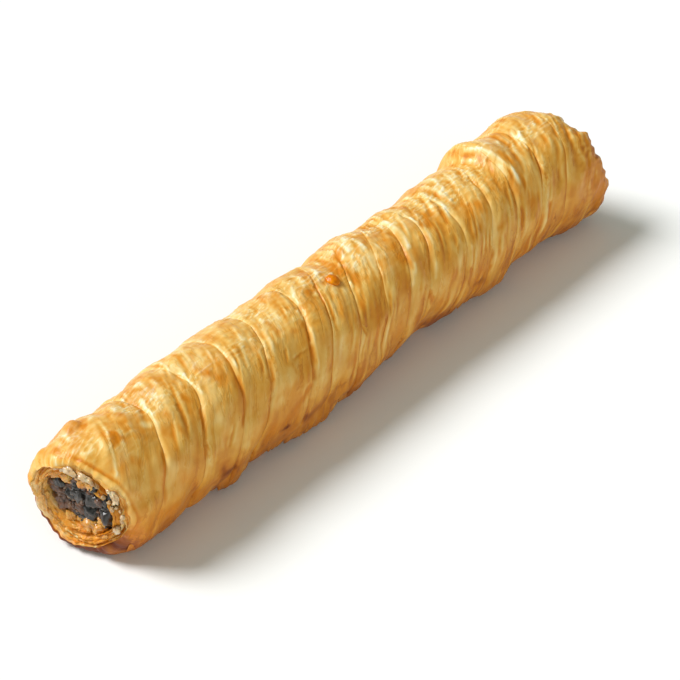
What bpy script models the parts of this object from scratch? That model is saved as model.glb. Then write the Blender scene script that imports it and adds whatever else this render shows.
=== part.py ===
"""A baked borek roll: pleated phyllo pastry wrapped round a dark minced filling.

The roll lies along X on its flattened underside. The pastry is one tube of leaning
pleats, and the filling runs through it and shows at both open ends. Lengths below are
in millimetres and angles in degrees. An angle is measured round the roll's axis:
0 faces -Y, 90 is the top, 180 faces +Y and 270 is the underside.
"""

import functools
import math
import random

import bmesh
import bpy
import numpy as np
from mathutils import Vector, noise

MM = 0.001

# Driving dimensions of the roll
ROLL_LENGTH = 227.0
ROLL_RADIUS = 19.0
FLATTENING = 1.4  # how far the underside is pressed flat
ANGLE_STEPS = 40
MERGE_DISTANCE = 0.000001

# Pleats: where each crease crosses the front flank (angle 45), how far it drifts along
# the roll by the top, and how high its lip stands
PLEATS = (
    (24.8, -2.4, 1.15),
    (42.3, -3.6, 1.30),
    (57.3, -2.2, 1.05),
    (68.8, 0.4, 1.25),
    (87.2, -1.4, 1.50),
    (97.1, 1.2, 0.60),
    (109.1, 2.0, 1.25),
    (121.1, 2.6, 0.70),
    (132.1, 0.4, 1.35),
    (142.7, -3.0, 1.10),
    (158.4, -5.4, 1.15),
    (172.3, -1.6, 1.30),
    (184.1, -4.0, 1.50),
    (198.6, -4.4, 1.10),
    (210.9, -2.6, 0.60),
)
PLEAT_LEAN = 10.0  # each crease lies in a plane that leans this far over one radius
LEAN_FROM = 45.0
# A crease wanders: waves round the roll, reach, how they shift from one crease to another
CREASE_WAVES = ((2.0, 0.7, 1.0), (5.0, 0.4, -1.0))
PILLOW_HEIGHT = 1.4  # of a panel over its creases, for a lip of 1
CREASE_DEPTH = 0.9  # of that, this much lies below the girth
RIDGE_HEIGHT = 0.4  # the lip is pinched up by this much more on the top
RIDGE_WIDTH = 0.7
LIP_RUN = 0.5  # the lip rises within about this distance of its crease
FOOT_RUN = 2.1  # and the panel sinks to the next crease within this one
FIRST_LIP = 0.55  # the near rim's own panel
LIP_RING = 1.0  # rings stand close together on the lip and the foot of a panel
SHOULDER_RING = 2.6
FOOT_RING = 1.6
RING_PITCH = 3.5  # between rings across the middle of a panel

# Girth: the radius along the shoulder (angle 125) and along the hem (angle -41)
SHOULDER_ANGLE = 125.0
SHOULDER_SPREAD = 105.0
SHOULDER = (
    (0.0, 17.6), (14.5, 19.2), (26.5, 18.7), (42.5, 19.4), (58.5, 20.3), (70.5, 19.8),
    (82.5, 19.1), (100.5, 19.8), (114.5, 18.3), (126.5, 20.2), (139.5, 18.3), (149.5, 18.9),
    (156.5, 17.7), (170.5, 19.6), (183.0, 18.4), (188.0, 22.2), (198.5, 20.0),
    (210.5, 21.2), (227.0, 20.0),
)
HEM_ANGLE = -41.0
HEM_SPREAD = 75.0
HEM = (
    (0.0, 15.8), (12.5, 18.6), (22.5, 19.3), (32.5, 18.3), (50.5, 19.4), (62.5, 18.4),
    (78.5, 20.1), (94.5, 20.4), (106.5, 19.9), (122.5, 18.4), (134.5, 16.8), (148.5, 18.7),
    (166.5, 19.4), (184.5, 18.1), (198.5, 18.0), (212.5, 19.6), (227.0, 21.2),
)

BACK_TUCK = (225.0, 55.0, 0.9)  # the roll is tucked in low at the back: angle, spread, depth

# Brown skirts of the bottom sheet: place, half length, how far they stand out
SKIRTS = (
    (15.5, 8.0, 1.7),
    (51.5, 7.0, 1.3),
    (86.5, 9.0, 2.2),
    (103.5, 6.0, 1.3),
    (170.5, 10.0, 0.9),
    (210.5, 8.0, 0.9),
)
SKIRT_ANGLE = -44.0
SKIRT_SPREAD = 24.0
SKIRT_RAGGEDNESS = 0.25

# Ends: both faces lean a little, and their outer edge is rounded
NEAR_SETBACK = 4.0
FAR_SETBACK = 4.2
END_LEAN_ANGLE = 139.0
RIM_LENGTH = 6.5
RIM_DROP = 3.4
# Both rims are rounded less on the flank: angle, half width, share
NEAR_FLANK = (25.0, 90.0, 0.45)
FAR_FLANK = (10.0, 80.0, 0.65)
# The near rim stands further back on the flank, and the layers inside it don't:
# angle, half width, depth, share of the radius where it starts
NEAR_CUT = (25.0, 100.0, 4.2, 0.66)
RIM_TEARS = 0.55  # the torn edge of the sheets wanders this far either way
# Layers of the end face: distance in from the outer edge (0) to the channel (1), depth
END_LAYERS = (
    (0.10, 0.1),
    (0.24, 0.5),
    (0.34, 2.0),
    (0.46, 0.6),
    (0.62, 0.9),
    (0.72, 2.2),
    (0.86, 0.9),
    (1.00, 2.6),
)
LAYER_WOBBLE = 1.3
LAYER_RAGGEDNESS = 0.45
LAYER_LEAN_LOSS = 0.4  # the inner layers lean this much less than the outer edge

HOOD = (35.0, 80.0, 0.5)  # the outer sheets overhang here: angle, half width, extra depth
# The bottom sheet ends in a pointed flap under the near mouth: angle, half width, reach
FLAP = (248.0, 40.0, 1.8)
FLAP_LENGTH = 7.0
FLAP_INNER = 0.72  # share of the roll's radius where the flap starts
FLAP_BLEND = 0.12

# Channel for the filling, a lying oval
CHANNEL_HALF_WIDTH = 12.2
CHANNEL_HALF_HEIGHT = 9.0
CHANNEL_RINGS = 7

# Relief of the skin
# Edges of single sheets that stand up on the top: station, angle, half length, width, height
SHEET_EDGES = (
    (10.6, 72.0, 36.0, 0.9, 0.9),
    (158.6, 86.0, 26.0, 1.0, 1.0),
    (92.5, 100.0, 24.0, 1.1, 0.8),
    (120.6, 96.0, 22.0, 1.1, 0.9),
    (203.0, 84.0, 20.0, 1.0, 0.8),
)
WRINKLE_COUNT = 110
WRINKLE_SEED = 20
WRINKLE_MARGIN = 8.0  # wrinkles fade out towards the rims
WRINKLE_BOW = 1.5
RIM_CURL = (12.5, 121.0, 3.2, 1.5)  # station, angle, radius, height
SWELLS = ((0.06, 1.3, 0.7), (0.13, 2.6, 0.8))  # pitch along, pitch round, height
SPOT_STATION = 109.3
SPOT_ANGLE = 80.5
SPOT_RADII = (2.5, 2.4, 1.4)

# Filling
FILLING_GAP = 0.35
FILLING_RECESS = 5.0
LUMPS_PER_END = 18
LUMP_RADII = (1.8, 3.3)
LUMP_SEED = 7
LUMP_UNEVENNESS = 0.16
LUMP_ROOM = 1.2  # a crumb keeps this many of its radii from the channel's wall
CORE_RINGS = 9
CORE_STEPS = 30
GOLDEN_TURN = math.pi * (3.0 - math.sqrt(5.0))

PASTRY_COLOUR = (0.72, 0.40, 0.12, 1.0)
FILLING_COLOUR = (0.055, 0.035, 0.025, 1.0)


def clear_scene():
    for obj in list(bpy.data.objects):
        bpy.data.objects.remove(obj, do_unlink=True)


def material(name, colour, roughness):
    made = bpy.data.materials.new(name)
    made.use_nodes = True
    shader = made.node_tree.nodes["Principled BSDF"]
    shader.inputs["Base Color"].default_value = colour
    shader.inputs["Roughness"].default_value = roughness
    shader.inputs["Metallic"].default_value = 0.0
    return made


def smooth(value):
    held = np.clip(value, 0.0, 1.0)
    return held * held * (3.0 - 2.0 * held)


def turned(angle, centre):
    """The angle measured from a centre, between -180 and 180."""
    return (angle - centre + 180.0) % 360.0 - 180.0


def along(stations, x):
    """A smooth value along the roll from (place, value) pairs."""
    places = np.array([pair[0] for pair in stations])
    values = np.array([pair[1] for pair in stations])
    shown = np.clip(x, places[0], places[-1])
    index = np.clip(np.searchsorted(places, shown) - 1, 0, len(places) - 2)
    share = smooth((shown - places[index]) / (places[index + 1] - places[index]))
    return values[index] + (values[index + 1] - values[index]) * share


def lobe(angle, centre, half_width):
    """A smooth hill of height 1 round an angle."""
    return smooth(1.0 - np.abs(turned(angle, centre)) / half_width)


def crease_line(pleat, angle):
    """Where a pleat's crease crosses each angle round the roll."""
    station, drift, _ = pleat
    away = turned(angle, LEAN_FROM)
    drifting = drift * np.where(away > 0.0, away / 45.0, 0.0) * lobe(angle, 120.0, 130.0)
    waver = 0.0
    for turns, reach, shift in CREASE_WAVES:
        waver = waver + reach * np.sin(np.radians(turns * angle) + shift * station)
    return station + PLEAT_LEAN * np.sin(np.radians(away)) + drifting + waver


def tears(angle, phase):
    turn = np.radians(angle)
    return RIM_TEARS * (np.sin(7.0 * turn + phase) + 0.8 * np.sin(11.0 * turn - phase) - 1.0)


def near_edge(angle, reach=1.0):
    """How far along the roll the near face stands, at a share of the radius."""
    lean = 0.5 * NEAR_SETBACK * (1.0 - reach * np.cos(np.radians(angle - END_LEAN_ANGLE)))
    deeper = np.clip((reach - NEAR_CUT[3]) / (1.0 - NEAR_CUT[3]), 0.0, 1.0)
    cut = NEAR_CUT[2] * deeper * lobe(angle, NEAR_CUT[0], NEAR_CUT[1])
    return lean + cut - 0.5 * reach * tears(angle, 1.0)


def far_edge(angle, reach=1.0):
    lean = 0.5 * FAR_SETBACK * (1.0 + reach * np.cos(np.radians(angle - END_LEAN_ANGLE)))
    return ROLL_LENGTH - lean + reach * tears(angle, 2.6)


@functools.cache
def wrinkle_rows():
    """Short leaning wrinkles, drawn once: place, angle, half length, width, height."""
    draw = random.Random(WRINKLE_SEED)
    rows = list(SHEET_EDGES)
    for _ in range(WRINKLE_COUNT):
        place = draw.uniform(4.0, ROLL_LENGTH - 4.0)
        angle = draw.uniform(-40.0, 230.0)
        half_length = draw.uniform(12.0, 40.0)
        width = draw.uniform(1.8, 3.2)
        height = draw.choice((-1.0, -0.8, 0.7, 1.0))
        rows.append((place, angle, half_length, width, height))
    return rows


def wrinkle_height(x, angle):
    height = np.zeros_like(x)
    for place, centre, half_length, width, rise in wrinkle_rows():
        reach = turned(angle, centre) / half_length
        lean = np.sin(np.radians(angle - LEAN_FROM)) - math.sin(math.radians(centre - LEAN_FROM))
        across = (x - place - PLEAT_LEAN * lean - WRINKLE_BOW * reach * reach) / width
        ends = np.clip(1.0 - reach * reach, 0.0, 1.0) ** 2
        height += rise * ends * np.exp(-across * across)
    return height


def curl_height(x, angle):
    """The curl at the near rim: a rounded rise over a small circle of the skin."""
    place, centre, radius, rise = RIM_CURL
    arc = np.radians(turned(angle, centre)) * ROLL_RADIUS
    distance = np.hypot(x - place, arc) / radius
    return rise * np.sqrt(np.clip(1.0 - distance * distance, 0.0, 1.0))


def gentle(x, angle):
    """Slow swells of the skin, from Blender's own noise."""
    height = np.zeros_like(x)
    for pitch, turn_pitch, rise in SWELLS:
        for index, (place, turn) in enumerate(zip(x, np.radians(angle))):
            point = (place * pitch, turn_pitch * math.cos(turn), turn_pitch * math.sin(turn))
            height[index] += rise * noise.noise(point)
    return height


def skirt_height(x, angle):
    rise = np.zeros_like(x)
    for place, half_length, reach in SKIRTS:
        lengthwise = smooth(1.2 - np.abs(x - place) / half_length)
        ragged = 1.0 + SKIRT_RAGGEDNESS * np.sin(x * 1.7 + place)
        rise += reach * lengthwise * ragged * lobe(angle, SKIRT_ANGLE, SKIRT_SPREAD)
    return rise


def girth(x, angle):
    """The radius of the roll before its pleats."""
    shoulder = (along(SHOULDER, x) - ROLL_RADIUS) * lobe(angle, SHOULDER_ANGLE, SHOULDER_SPREAD)
    hem = (along(HEM, x) - ROLL_RADIUS) * lobe(angle, HEM_ANGLE, HEM_SPREAD)
    tuck_angle, tuck_spread, tuck_depth = BACK_TUCK
    return ROLL_RADIUS + shoulder + hem - tuck_depth * lobe(angle, tuck_angle, tuck_spread)


def pleat_height(from_crease, to_crease, lip, angle):
    """A lip that stands up at its crease, then a pillow that sinks to the next."""
    rise = 1.0 - np.exp(-from_crease / LIP_RUN)
    sink = 1.0 - np.exp(-to_crease / FOOT_RUN)
    ridge = np.exp(-(((from_crease - LIP_RING) / RIDGE_WIDTH) ** 2)) * lobe(angle, 90.0, 75.0)
    uneven = 0.8 + 0.25 * np.sin(np.radians(2.0 * angle) + 9.0 * lip)
    uneven = uneven + 0.15 * np.sin(np.radians(5.0 * angle) - 23.0 * lip)
    pressed = 1.0 - 0.6 * lobe(angle, 270.0, 60.0)
    return lip * uneven * pressed * (PILLOW_HEIGHT * rise * sink - CREASE_DEPTH + RIDGE_HEIGHT * ridge)


def rim_drop(distance):
    """How far the skin turns in towards a round rim, by distance from it."""
    share = np.clip(1.0 - distance / RIM_LENGTH, 0.0, 1.0)
    return RIM_DROP * (1.0 - np.sqrt(np.clip(1.0 - share * share, 0.0, 1.0)))


def panel_rings(start, end):
    """The places of the rings across one panel, close together at its two edges."""
    first = start + SHOULDER_RING
    last = end - FOOT_RING
    count = max(2, round(float(np.mean(last - first)) / RING_PITCH))
    middle = [first + (last - first) * step / count for step in range(count + 1)]
    return [start, start + LIP_RING] + middle


def skin_row(start, end, x, lip, angle):
    """One ring of the skin between two crease lines: places and radii."""
    to_near = x - near_edge(angle)
    to_far = far_edge(angle) - x
    radius = girth(x, angle) + pleat_height(x - start, end - x, lip, angle)
    inside = smooth(to_near / WRINKLE_MARGIN) * smooth(to_far / WRINKLE_MARGIN)
    radius = radius + wrinkle_height(x, angle) * inside
    radius = radius + gentle(x, angle) + skirt_height(x, angle) + curl_height(x, angle)
    near_share = 1.0 - NEAR_FLANK[2] * lobe(angle, NEAR_FLANK[0], NEAR_FLANK[1])
    far_share = 1.0 - FAR_FLANK[2] * lobe(angle, FAR_FLANK[0], FAR_FLANK[1])
    return x, radius - rim_drop(to_near) * near_share - rim_drop(to_far) * far_share


def skin_rows(angle):
    lines = [near_edge(angle)]
    lines += [crease_line(pleat, angle) for pleat in PLEATS]
    lines.append(far_edge(angle))
    lips = [FIRST_LIP] + [pleat[2] for pleat in PLEATS]
    rows = []
    for start, end, lip in zip(lines, lines[1:], lips):
        rows += [skin_row(start, end, x, lip, angle) for x in panel_rings(start, end)]
    rows.append(skin_row(lines[-2], lines[-1], lines[-1], lips[-1], angle))
    return rows


def channel_radius(angle):
    away = np.radians(angle)
    return 1.0 / np.hypot(np.cos(away) / CHANNEL_HALF_WIDTH, np.sin(away) / CHANNEL_HALF_HEIGHT)


def end_rows(edge, inward, outer, angle, phase):
    """The layered face of one end, from the skin's last ring in to the channel."""
    inner = channel_radius(angle)
    rows = []
    for share, depth in END_LAYERS:
        swirl = 1.0 - abs(2.0 * share - 1.0)
        waver = LAYER_WOBBLE * swirl * np.sin(np.radians(angle) * 2.0 + phase + 5.0 * share)
        radius = outer + (inner - outer) * share + waver
        ragged = LAYER_RAGGEDNESS * np.sin(np.radians(angle) * 5.0 + phase * 3.0 + 9.0 * share)
        hooded = depth * HOOD[2] * lobe(angle, HOOD[0], HOOD[1])
        face = edge(angle, 1.0 - LAYER_LEAN_LOSS * share)
        x = face + inward * (depth + hooded + ragged * (1.0 - share))
        rows.append((x, radius))
    return rows


def pastry_rows(angle):
    skin = skin_rows(angle)
    far = end_rows(far_edge, -1.0, skin[-1][1], angle, 0.6)
    near = end_rows(near_edge, 1.0, skin[0][1], angle, 2.1)
    start, end = far[-1][0], near[-1][0]
    inner = channel_radius(angle)
    shares = [step / (CHANNEL_RINGS + 1.0) for step in range(1, CHANNEL_RINGS + 1)]
    channel = [(start + (end - start) * share, inner) for share in shares]
    return skin + far + channel + near[::-1]


def flap_reach(x, radius, angle):
    """The bottom sheet drawn out past the near mouth, and down to the table."""
    angle_share = lobe(angle, FLAP[0], FLAP[1])
    outer = smooth((radius / ROLL_RADIUS - FLAP_INNER) / FLAP_BLEND)
    near = smooth(1.0 - x / FLAP_LENGTH)
    return FLAP[2] * angle_share * outer * near


def placed(x, radius, angle):
    """A point of the roll in metres, with the underside pressed flat."""
    turn = np.radians(angle)
    x = x - flap_reach(x, radius, angle)
    y = -radius * np.cos(turn)
    z = np.maximum(radius * np.sin(turn) + ROLL_RADIUS - FLATTENING, 0.0)
    return np.stack((x - 0.5 * ROLL_LENGTH, y, z), axis=-1) * MM


def linked_object(name, mesh, look):
    mesh.materials.append(look)
    obj = bpy.data.objects.new(name, mesh)
    bpy.context.scene.collection.objects.link(obj)
    return obj


def rolled_pastry():
    """A flat grid rolled up: its rows run over the skin, both ends and the channel."""
    angle = np.arange(ANGLE_STEPS + 1) * 360.0 / ANGLE_STEPS
    rows = [placed(x, radius, angle) for x, radius in pastry_rows(angle)]
    rows.append(rows[0])
    sheet = bmesh.new()
    bmesh.ops.create_grid(sheet, x_segments=ANGLE_STEPS, y_segments=len(rows) - 1, size=1.0)
    sheet.verts.ensure_lookup_table()
    for index, vert in enumerate(sheet.verts):
        row, step = divmod(index, ANGLE_STEPS + 1)
        vert.co = rows[row][step % ANGLE_STEPS]
    bmesh.ops.remove_doubles(sheet, verts=sheet.verts[:], dist=MERGE_DISTANCE)
    bmesh.ops.triangulate(sheet, faces=sheet.faces[:], quad_method="SHORT_EDGE")
    bmesh.ops.recalc_face_normals(sheet, faces=sheet.faces[:])
    mesh = bpy.data.meshes.new("pastry")
    sheet.to_mesh(mesh)
    sheet.free()
    mesh.shade_smooth()
    return linked_object("pastry", mesh, material("baked_pastry", PASTRY_COLOUR, 0.45))


def fused(base, holder):
    """Joins a collection's solids to an object and removes them."""
    fuse = base.modifiers.new("fuse", "BOOLEAN")
    fuse.operation = "UNION"
    fuse.operand_type = "COLLECTION"
    fuse.collection = holder
    fuse.solver = "EXACT"
    bpy.context.view_layer.update()
    graph = bpy.context.evaluated_depsgraph_get()
    joined = bpy.data.meshes.new_from_object(base.evaluated_get(graph))
    base.modifiers.remove(fuse)
    base.data = joined
    for obj in list(holder.objects):
        bpy.data.objects.remove(obj, do_unlink=True)
    bpy.data.collections.remove(holder)
    base.data.shade_smooth()


def new_holder(name):
    holder = bpy.data.collections.new(name)
    bpy.context.scene.collection.children.link(holder)
    return holder


def spotted_pastry():
    """The pastry with its one caramelised spot, a low drop on the skin."""
    pastry = rolled_pastry()
    holder = new_holder("spot")
    angle = np.array([SPOT_ANGLE])
    radius = girth(np.array([SPOT_STATION]), angle)
    centre = Vector(placed(np.array([SPOT_STATION]), radius, angle)[0])
    lump("spot", centre, Vector(SPOT_RADII) * MM, pastry.data.materials[0], holder)
    fused(pastry, holder)
    return pastry


def filling_core(look):
    """The run of filling through the channel, a little short of both mouths."""
    core = bmesh.new()
    bmesh.ops.create_cone(
        core, cap_ends=True, segments=CORE_STEPS, radius1=1.0, radius2=1.0, depth=1.0
    )
    for share in range(1, CORE_RINGS):
        bmesh.ops.bisect_plane(
            core,
            geom=core.verts[:] + core.edges[:] + core.faces[:],
            plane_co=(0.0, 0.0, share / CORE_RINGS - 0.5),
            plane_no=(0.0, 0.0, 1.0),
        )
    for vert in core.verts:
        angle = math.degrees(math.atan2(vert.co.y, vert.co.x))
        radius = channel_radius(angle) - FILLING_GAP
        start = near_edge(angle, radius / ROLL_RADIUS) + FILLING_RECESS
        end = far_edge(angle, radius / ROLL_RADIUS) - FILLING_RECESS
        x = start + (end - start) * (vert.co.z + 0.5)
        vert.co = placed(x, radius, angle)
    bmesh.ops.recalc_face_normals(core, faces=core.faces[:])
    mesh = bpy.data.meshes.new("filling")
    core.to_mesh(mesh)
    core.free()
    return linked_object("filling", mesh, look)


def lump(name, centre, radii, look, holder):
    """One crumb of minced filling, an uneven ball."""
    ball = bmesh.new()
    bmesh.ops.create_icosphere(ball, subdivisions=2, radius=1.0)
    for vert in ball.verts:
        swell = 1.0 + LUMP_UNEVENNESS * noise.noise(vert.co * 1.9 + centre * 900.0)
        vert.co = centre + (vert.co * radii) * swell
    mesh = bpy.data.meshes.new(name)
    ball.to_mesh(mesh)
    ball.free()
    mesh.materials.append(look)
    obj = bpy.data.objects.new(name, mesh)
    holder.objects.link(obj)
    return obj


def end_lumps(edge, inward, draw, look, holder):
    """Crumbs spread over one mouth by the golden turn, the smaller ones outside."""
    for index in range(LUMPS_PER_END):
        share = math.sqrt((index + 0.5) / LUMPS_PER_END)
        angle = math.degrees(index * GOLDEN_TURN)
        size = LUMP_RADII[1] + (LUMP_RADII[0] - LUMP_RADII[1]) * draw.uniform(0.3, 1.0) * share
        room = float(channel_radius(angle)) - FILLING_GAP - size * LUMP_ROOM
        radius = room * share
        face = float(edge(angle, radius / ROLL_RADIUS))
        x = face + inward * (FILLING_RECESS + draw.uniform(-1.2, 0.8) + 0.45 * size)
        point = placed(np.array(x), np.array(radius), np.array(angle))
        centre = Vector(point)
        radii = Vector([size * MM * draw.uniform(0.85, 1.1) for _ in range(3)])
        lump(f"lump_{holder.name}_{index}", centre, radii, look, holder)


def filled():
    """The filling with its crumbs fused to both ends by one union."""
    look = material("minced_filling", FILLING_COLOUR, 0.7)
    core = filling_core(look)
    holder = new_holder("crumbs")
    draw = random.Random(LUMP_SEED)
    end_lumps(near_edge, 1.0, draw, look, holder)
    end_lumps(far_edge, -1.0, draw, look, holder)
    fused(core, holder)
    return core


def centre_on_floor(objects):
    """Moves the meshes so that the middle of the footprint is the origin."""
    points = np.array([vert.co for obj in objects for vert in obj.data.vertices])
    middle = 0.5 * (points.min(axis=0) + points.max(axis=0))
    for obj in objects:
        for vert in obj.data.vertices:
            vert.co.x -= middle[0]
            vert.co.y -= middle[1]


def main():
    clear_scene()
    pastry = spotted_pastry()
    filling = filled()
    centre_on_floor([pastry, filling])


main()
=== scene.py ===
# A baked borek roll: pleated buttered phyllo round dark mince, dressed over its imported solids.
import math
import random

import bpy
import numpy as np
from mathutils import Matrix, Vector, noise

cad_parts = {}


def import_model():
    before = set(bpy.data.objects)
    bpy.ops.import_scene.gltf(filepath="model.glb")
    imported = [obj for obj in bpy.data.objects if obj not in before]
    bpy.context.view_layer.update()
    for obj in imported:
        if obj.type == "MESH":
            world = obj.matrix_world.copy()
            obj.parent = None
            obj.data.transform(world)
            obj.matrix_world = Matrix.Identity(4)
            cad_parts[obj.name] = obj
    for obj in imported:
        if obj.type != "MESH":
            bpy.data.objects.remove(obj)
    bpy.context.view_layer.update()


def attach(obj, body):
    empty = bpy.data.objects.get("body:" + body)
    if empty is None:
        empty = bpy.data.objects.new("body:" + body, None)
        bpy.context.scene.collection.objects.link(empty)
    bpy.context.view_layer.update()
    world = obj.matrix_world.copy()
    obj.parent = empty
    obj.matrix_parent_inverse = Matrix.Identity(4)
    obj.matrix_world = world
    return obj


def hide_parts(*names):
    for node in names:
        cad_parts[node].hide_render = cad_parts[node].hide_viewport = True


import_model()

mm = 0.001
print("frame loaded")

# The roll lies along X. Stations are in mm from the near mouth and angles in degrees round
# the axis: 0 faces -Y, 90 is the top, 180 faces +Y. These are the solids' own dimensions.
roll = {
    "length": 227,
    "radius": 19,
    "flattening": 1.4,
    "shift": (-0.062, -0.599),
    "lean": 10,
    "leanFrom": 45,
    "creaseWaves": ((2, 0.7, 1), (5, 0.4, -1)),
    "nearSetback": 4,
    "farSetback": 4.2,
    "endLeanAngle": 139,
    "rimTears": 0.55,
    "rimLength": 6.5,
    "rimDrop": 3.4,
    "nearFlank": (25, 90, 0.45),
    "farFlank": (10, 80, 0.65),
    # the near rim stands back on the flank: angle, half width, depth, where it starts
    "nearCut": (25, 100, 4.2, 0.66),
    "channel": (12.2, 9),
    "backTuck": (225, 55, 0.9),
}

# station at angle 45, drift by the top, height of the lip
pleats = (
    (24.8, -2.4, 1.15), (42.3, -3.6, 1.2), (57.3, -2.2, 1), (68.8, 0.4, 1.15),
    (87.2, -1.4, 1.3), (97.1, 1.2, 0.3), (109.1, 2, 1), (121.1, 2.6, 0.4),
    (132.1, 0.4, 1), (142.7, -3, 0.75), (158.4, -5.4, 0.75), (172.3, -1.6, 0.8),
    (184.1, -4, 1.2), (198.6, -4.4, 0.55), (210.9, -2.6, 0.3),
)

# radius along the shoulder and along the hem
girths = {
    "shoulderAngle": 125,
    "shoulderSpread": 105,
    "shoulder": (
        (0, 17.6), (14.5, 19.2), (26.5, 18.7), (42.5, 19.4), (58.5, 20.3), (70.5, 19.8),
        (82.5, 19.1), (100.5, 19.8), (114.5, 18.3), (126.5, 20.2), (139.5, 18.3), (149.5, 18.9),
        (156.5, 17.7), (170.5, 19.6), (183, 18.4), (188, 22.2), (198.5, 20),
        (210.5, 21.2), (227, 20),
    ),
    "hemAngle": -41,
    "hemSpread": 75,
    "hem": (
        (0, 15.8), (12.5, 18.6), (22.5, 19.3), (32.5, 18.3), (50.5, 19.4), (62.5, 18.4),
        (78.5, 20.1), (94.5, 20.4), (106.5, 19.9), (122.5, 18.4), (134.5, 16.8), (148.5, 18.7),
        (166.5, 19.4), (184.5, 18.1), (198.5, 18), (212.5, 19.6), (227, 21.2),
    ),
    # bulges of the bottom sheet: place, half length, reach
    "skirts": (
        (15.5, 8, 1), (51.5, 7, 1.3), (86.5, 9, 2.2), (103.5, 6, 1.3),
        (170.5, 10, 0.9), (210.5, 8, 0.9),
    ),
    "skirtAngle": -44,
    "skirtSpread": 24,
}


def smooth(value):
    held = np.clip(value, 0.0, 1.0)
    return held * held * (3.0 - 2.0 * held)


def turned(angle, centre):
    return (angle - centre + 180.0) % 360.0 - 180.0


def lobe(angle, centre, halfWidth):
    return smooth(1.0 - np.abs(turned(angle, centre)) / halfWidth)


def along(stations, x):
    places = np.array([pair[0] for pair in stations])
    values = np.array([pair[1] for pair in stations])
    shown = np.clip(x, places[0], places[-1])
    index = np.clip(np.searchsorted(places, shown) - 1, 0, len(places) - 2)
    share = smooth((shown - places[index]) / (places[index + 1] - places[index]))
    return values[index] + (values[index + 1] - values[index]) * share


def leanAt(angle):
    return roll["lean"] * np.sin(np.radians(turned(angle, roll["leanFrom"])))


def creaseLine(pleat, angle):
    station, drift, _ = pleat
    away = turned(angle, roll["leanFrom"])
    drifting = drift * np.where(away > 0.0, away / 45.0, 0.0) * lobe(angle, 120.0, 130.0)
    waver = 0.0
    for turns, reach, shift in roll["creaseWaves"]:
        waver = waver + reach * np.sin(np.radians(turns * angle) + shift * station)
    return station + leanAt(angle) + drifting + waver


def tears(angle, phase):
    turn = np.radians(angle)
    coarse = np.sin(7.0 * turn + phase) + 0.8 * np.sin(11.0 * turn - phase) - 1.0
    fine = 0.55 * np.sin(23.0 * turn + 2.0 * phase) + 0.4 * np.sin(37.0 * turn - phase)
    return roll["rimTears"] * (coarse + fine)


def nearEdge(angle, reach=1.0):
    lean = 0.5 * roll["nearSetback"] * (1.0 - reach * np.cos(np.radians(angle - roll["endLeanAngle"])))
    cutAngle, cutSpread, cutDepth, cutStart = roll["nearCut"]
    deeper = np.clip((reach - cutStart) / (1.0 - cutStart), 0.0, 1.0)
    cut = cutDepth * deeper * lobe(angle, cutAngle, cutSpread)
    return lean + cut - 0.5 * reach * tears(angle, 1.0)


def farEdge(angle, reach=1.0):
    lean = 0.5 * roll["farSetback"] * (1.0 + reach * np.cos(np.radians(angle - roll["endLeanAngle"])))
    return roll["length"] - lean + reach * tears(angle, 2.6)


def channelRadius(angle):
    away = np.radians(angle)
    halfWidth, halfHeight = roll["channel"]
    return 1.0 / np.hypot(np.cos(away) / halfWidth, np.sin(away) / halfHeight)


def girthAt(x, angle):
    girth = roll["radius"]
    for side in ("shoulder", "hem"):
        reach = lobe(angle, girths[side + "Angle"], girths[side + "Spread"])
        girth = girth + (along(girths[side], x) - roll["radius"]) * reach
    tuckAngle, tuckSpread, tuckDepth = roll["backTuck"]
    return girth - tuckDepth * lobe(angle, tuckAngle, tuckSpread)


def skirtHeight(x, angle):
    rise = np.zeros_like(x)
    for place, halfLength, reach in girths["skirts"]:
        lengthwise = smooth(1.2 - np.abs(x - place) / halfLength)
        ragged = 1.0 + 0.25 * np.sin(x * 1.7 + place)
        rise += 0.7 * reach * lengthwise * ragged * lobe(angle, girths["skirtAngle"], girths["skirtSpread"])
    return rise


def placed(x, radius, angle):
    # station, radius and angle to metres, with the underside pressed flat
    turn = np.radians(angle)
    y = -radius * np.cos(turn)
    z = np.maximum(radius * np.sin(turn) + roll["radius"] - roll["flattening"], 0.0)
    return np.stack((x - 0.5 * roll["length"] + roll["shift"][0], y + roll["shift"][1], z), axis=-1) * mm


def noiseAt(points):
    flat = points.reshape(-1, 3)
    return np.array([noise.noise(Vector(point)) for point in flat.tolist()]).reshape(points.shape[:-1])


def noiseOver(*axes):
    return noiseAt(np.stack(np.broadcast_arrays(*axes), axis=-1))


def ringPlace(angle):
    # across and up from the roll's axis
    turn = np.radians(angle)
    return roll["radius"] * np.cos(turn), roll["radius"] * np.sin(turn)


# folds, wrinkles and stains of the skin

wrinkles = {
    "count": 110,
    "seed": 20,
    "margin": 8,
    "depth": 0.42,
    "bow": 1.5,
    # edges of single sheets: station, angle, half length, width, height
    "sheetEdges": (
        (10.6, 72, 36, 0.9, 0.9), (158.6, 86, 26, 1, 1), (92.5, 100, 24, 1.1, 0.8),
        (120.6, 96, 22, 1.1, 0.9), (203, 84, 20, 1, 0.8),
    ),
    # short fine creases: how many, seed and height
    "fine": (330, 33, 0.17),
    # rounded lumps near the rims: station, angle, radius, height
    "rimLumps": (
        (12.5, 121, 3.2, 1.5), (3.4, 158, 3.4, 0.3), (2.6, 176, 3, 0.3), (3, 140, 2.6, 0.5),
    ),
    "swells": ((0.06, 1.3, 0.7), (0.13, 2.6, 0.8)),
}

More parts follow.
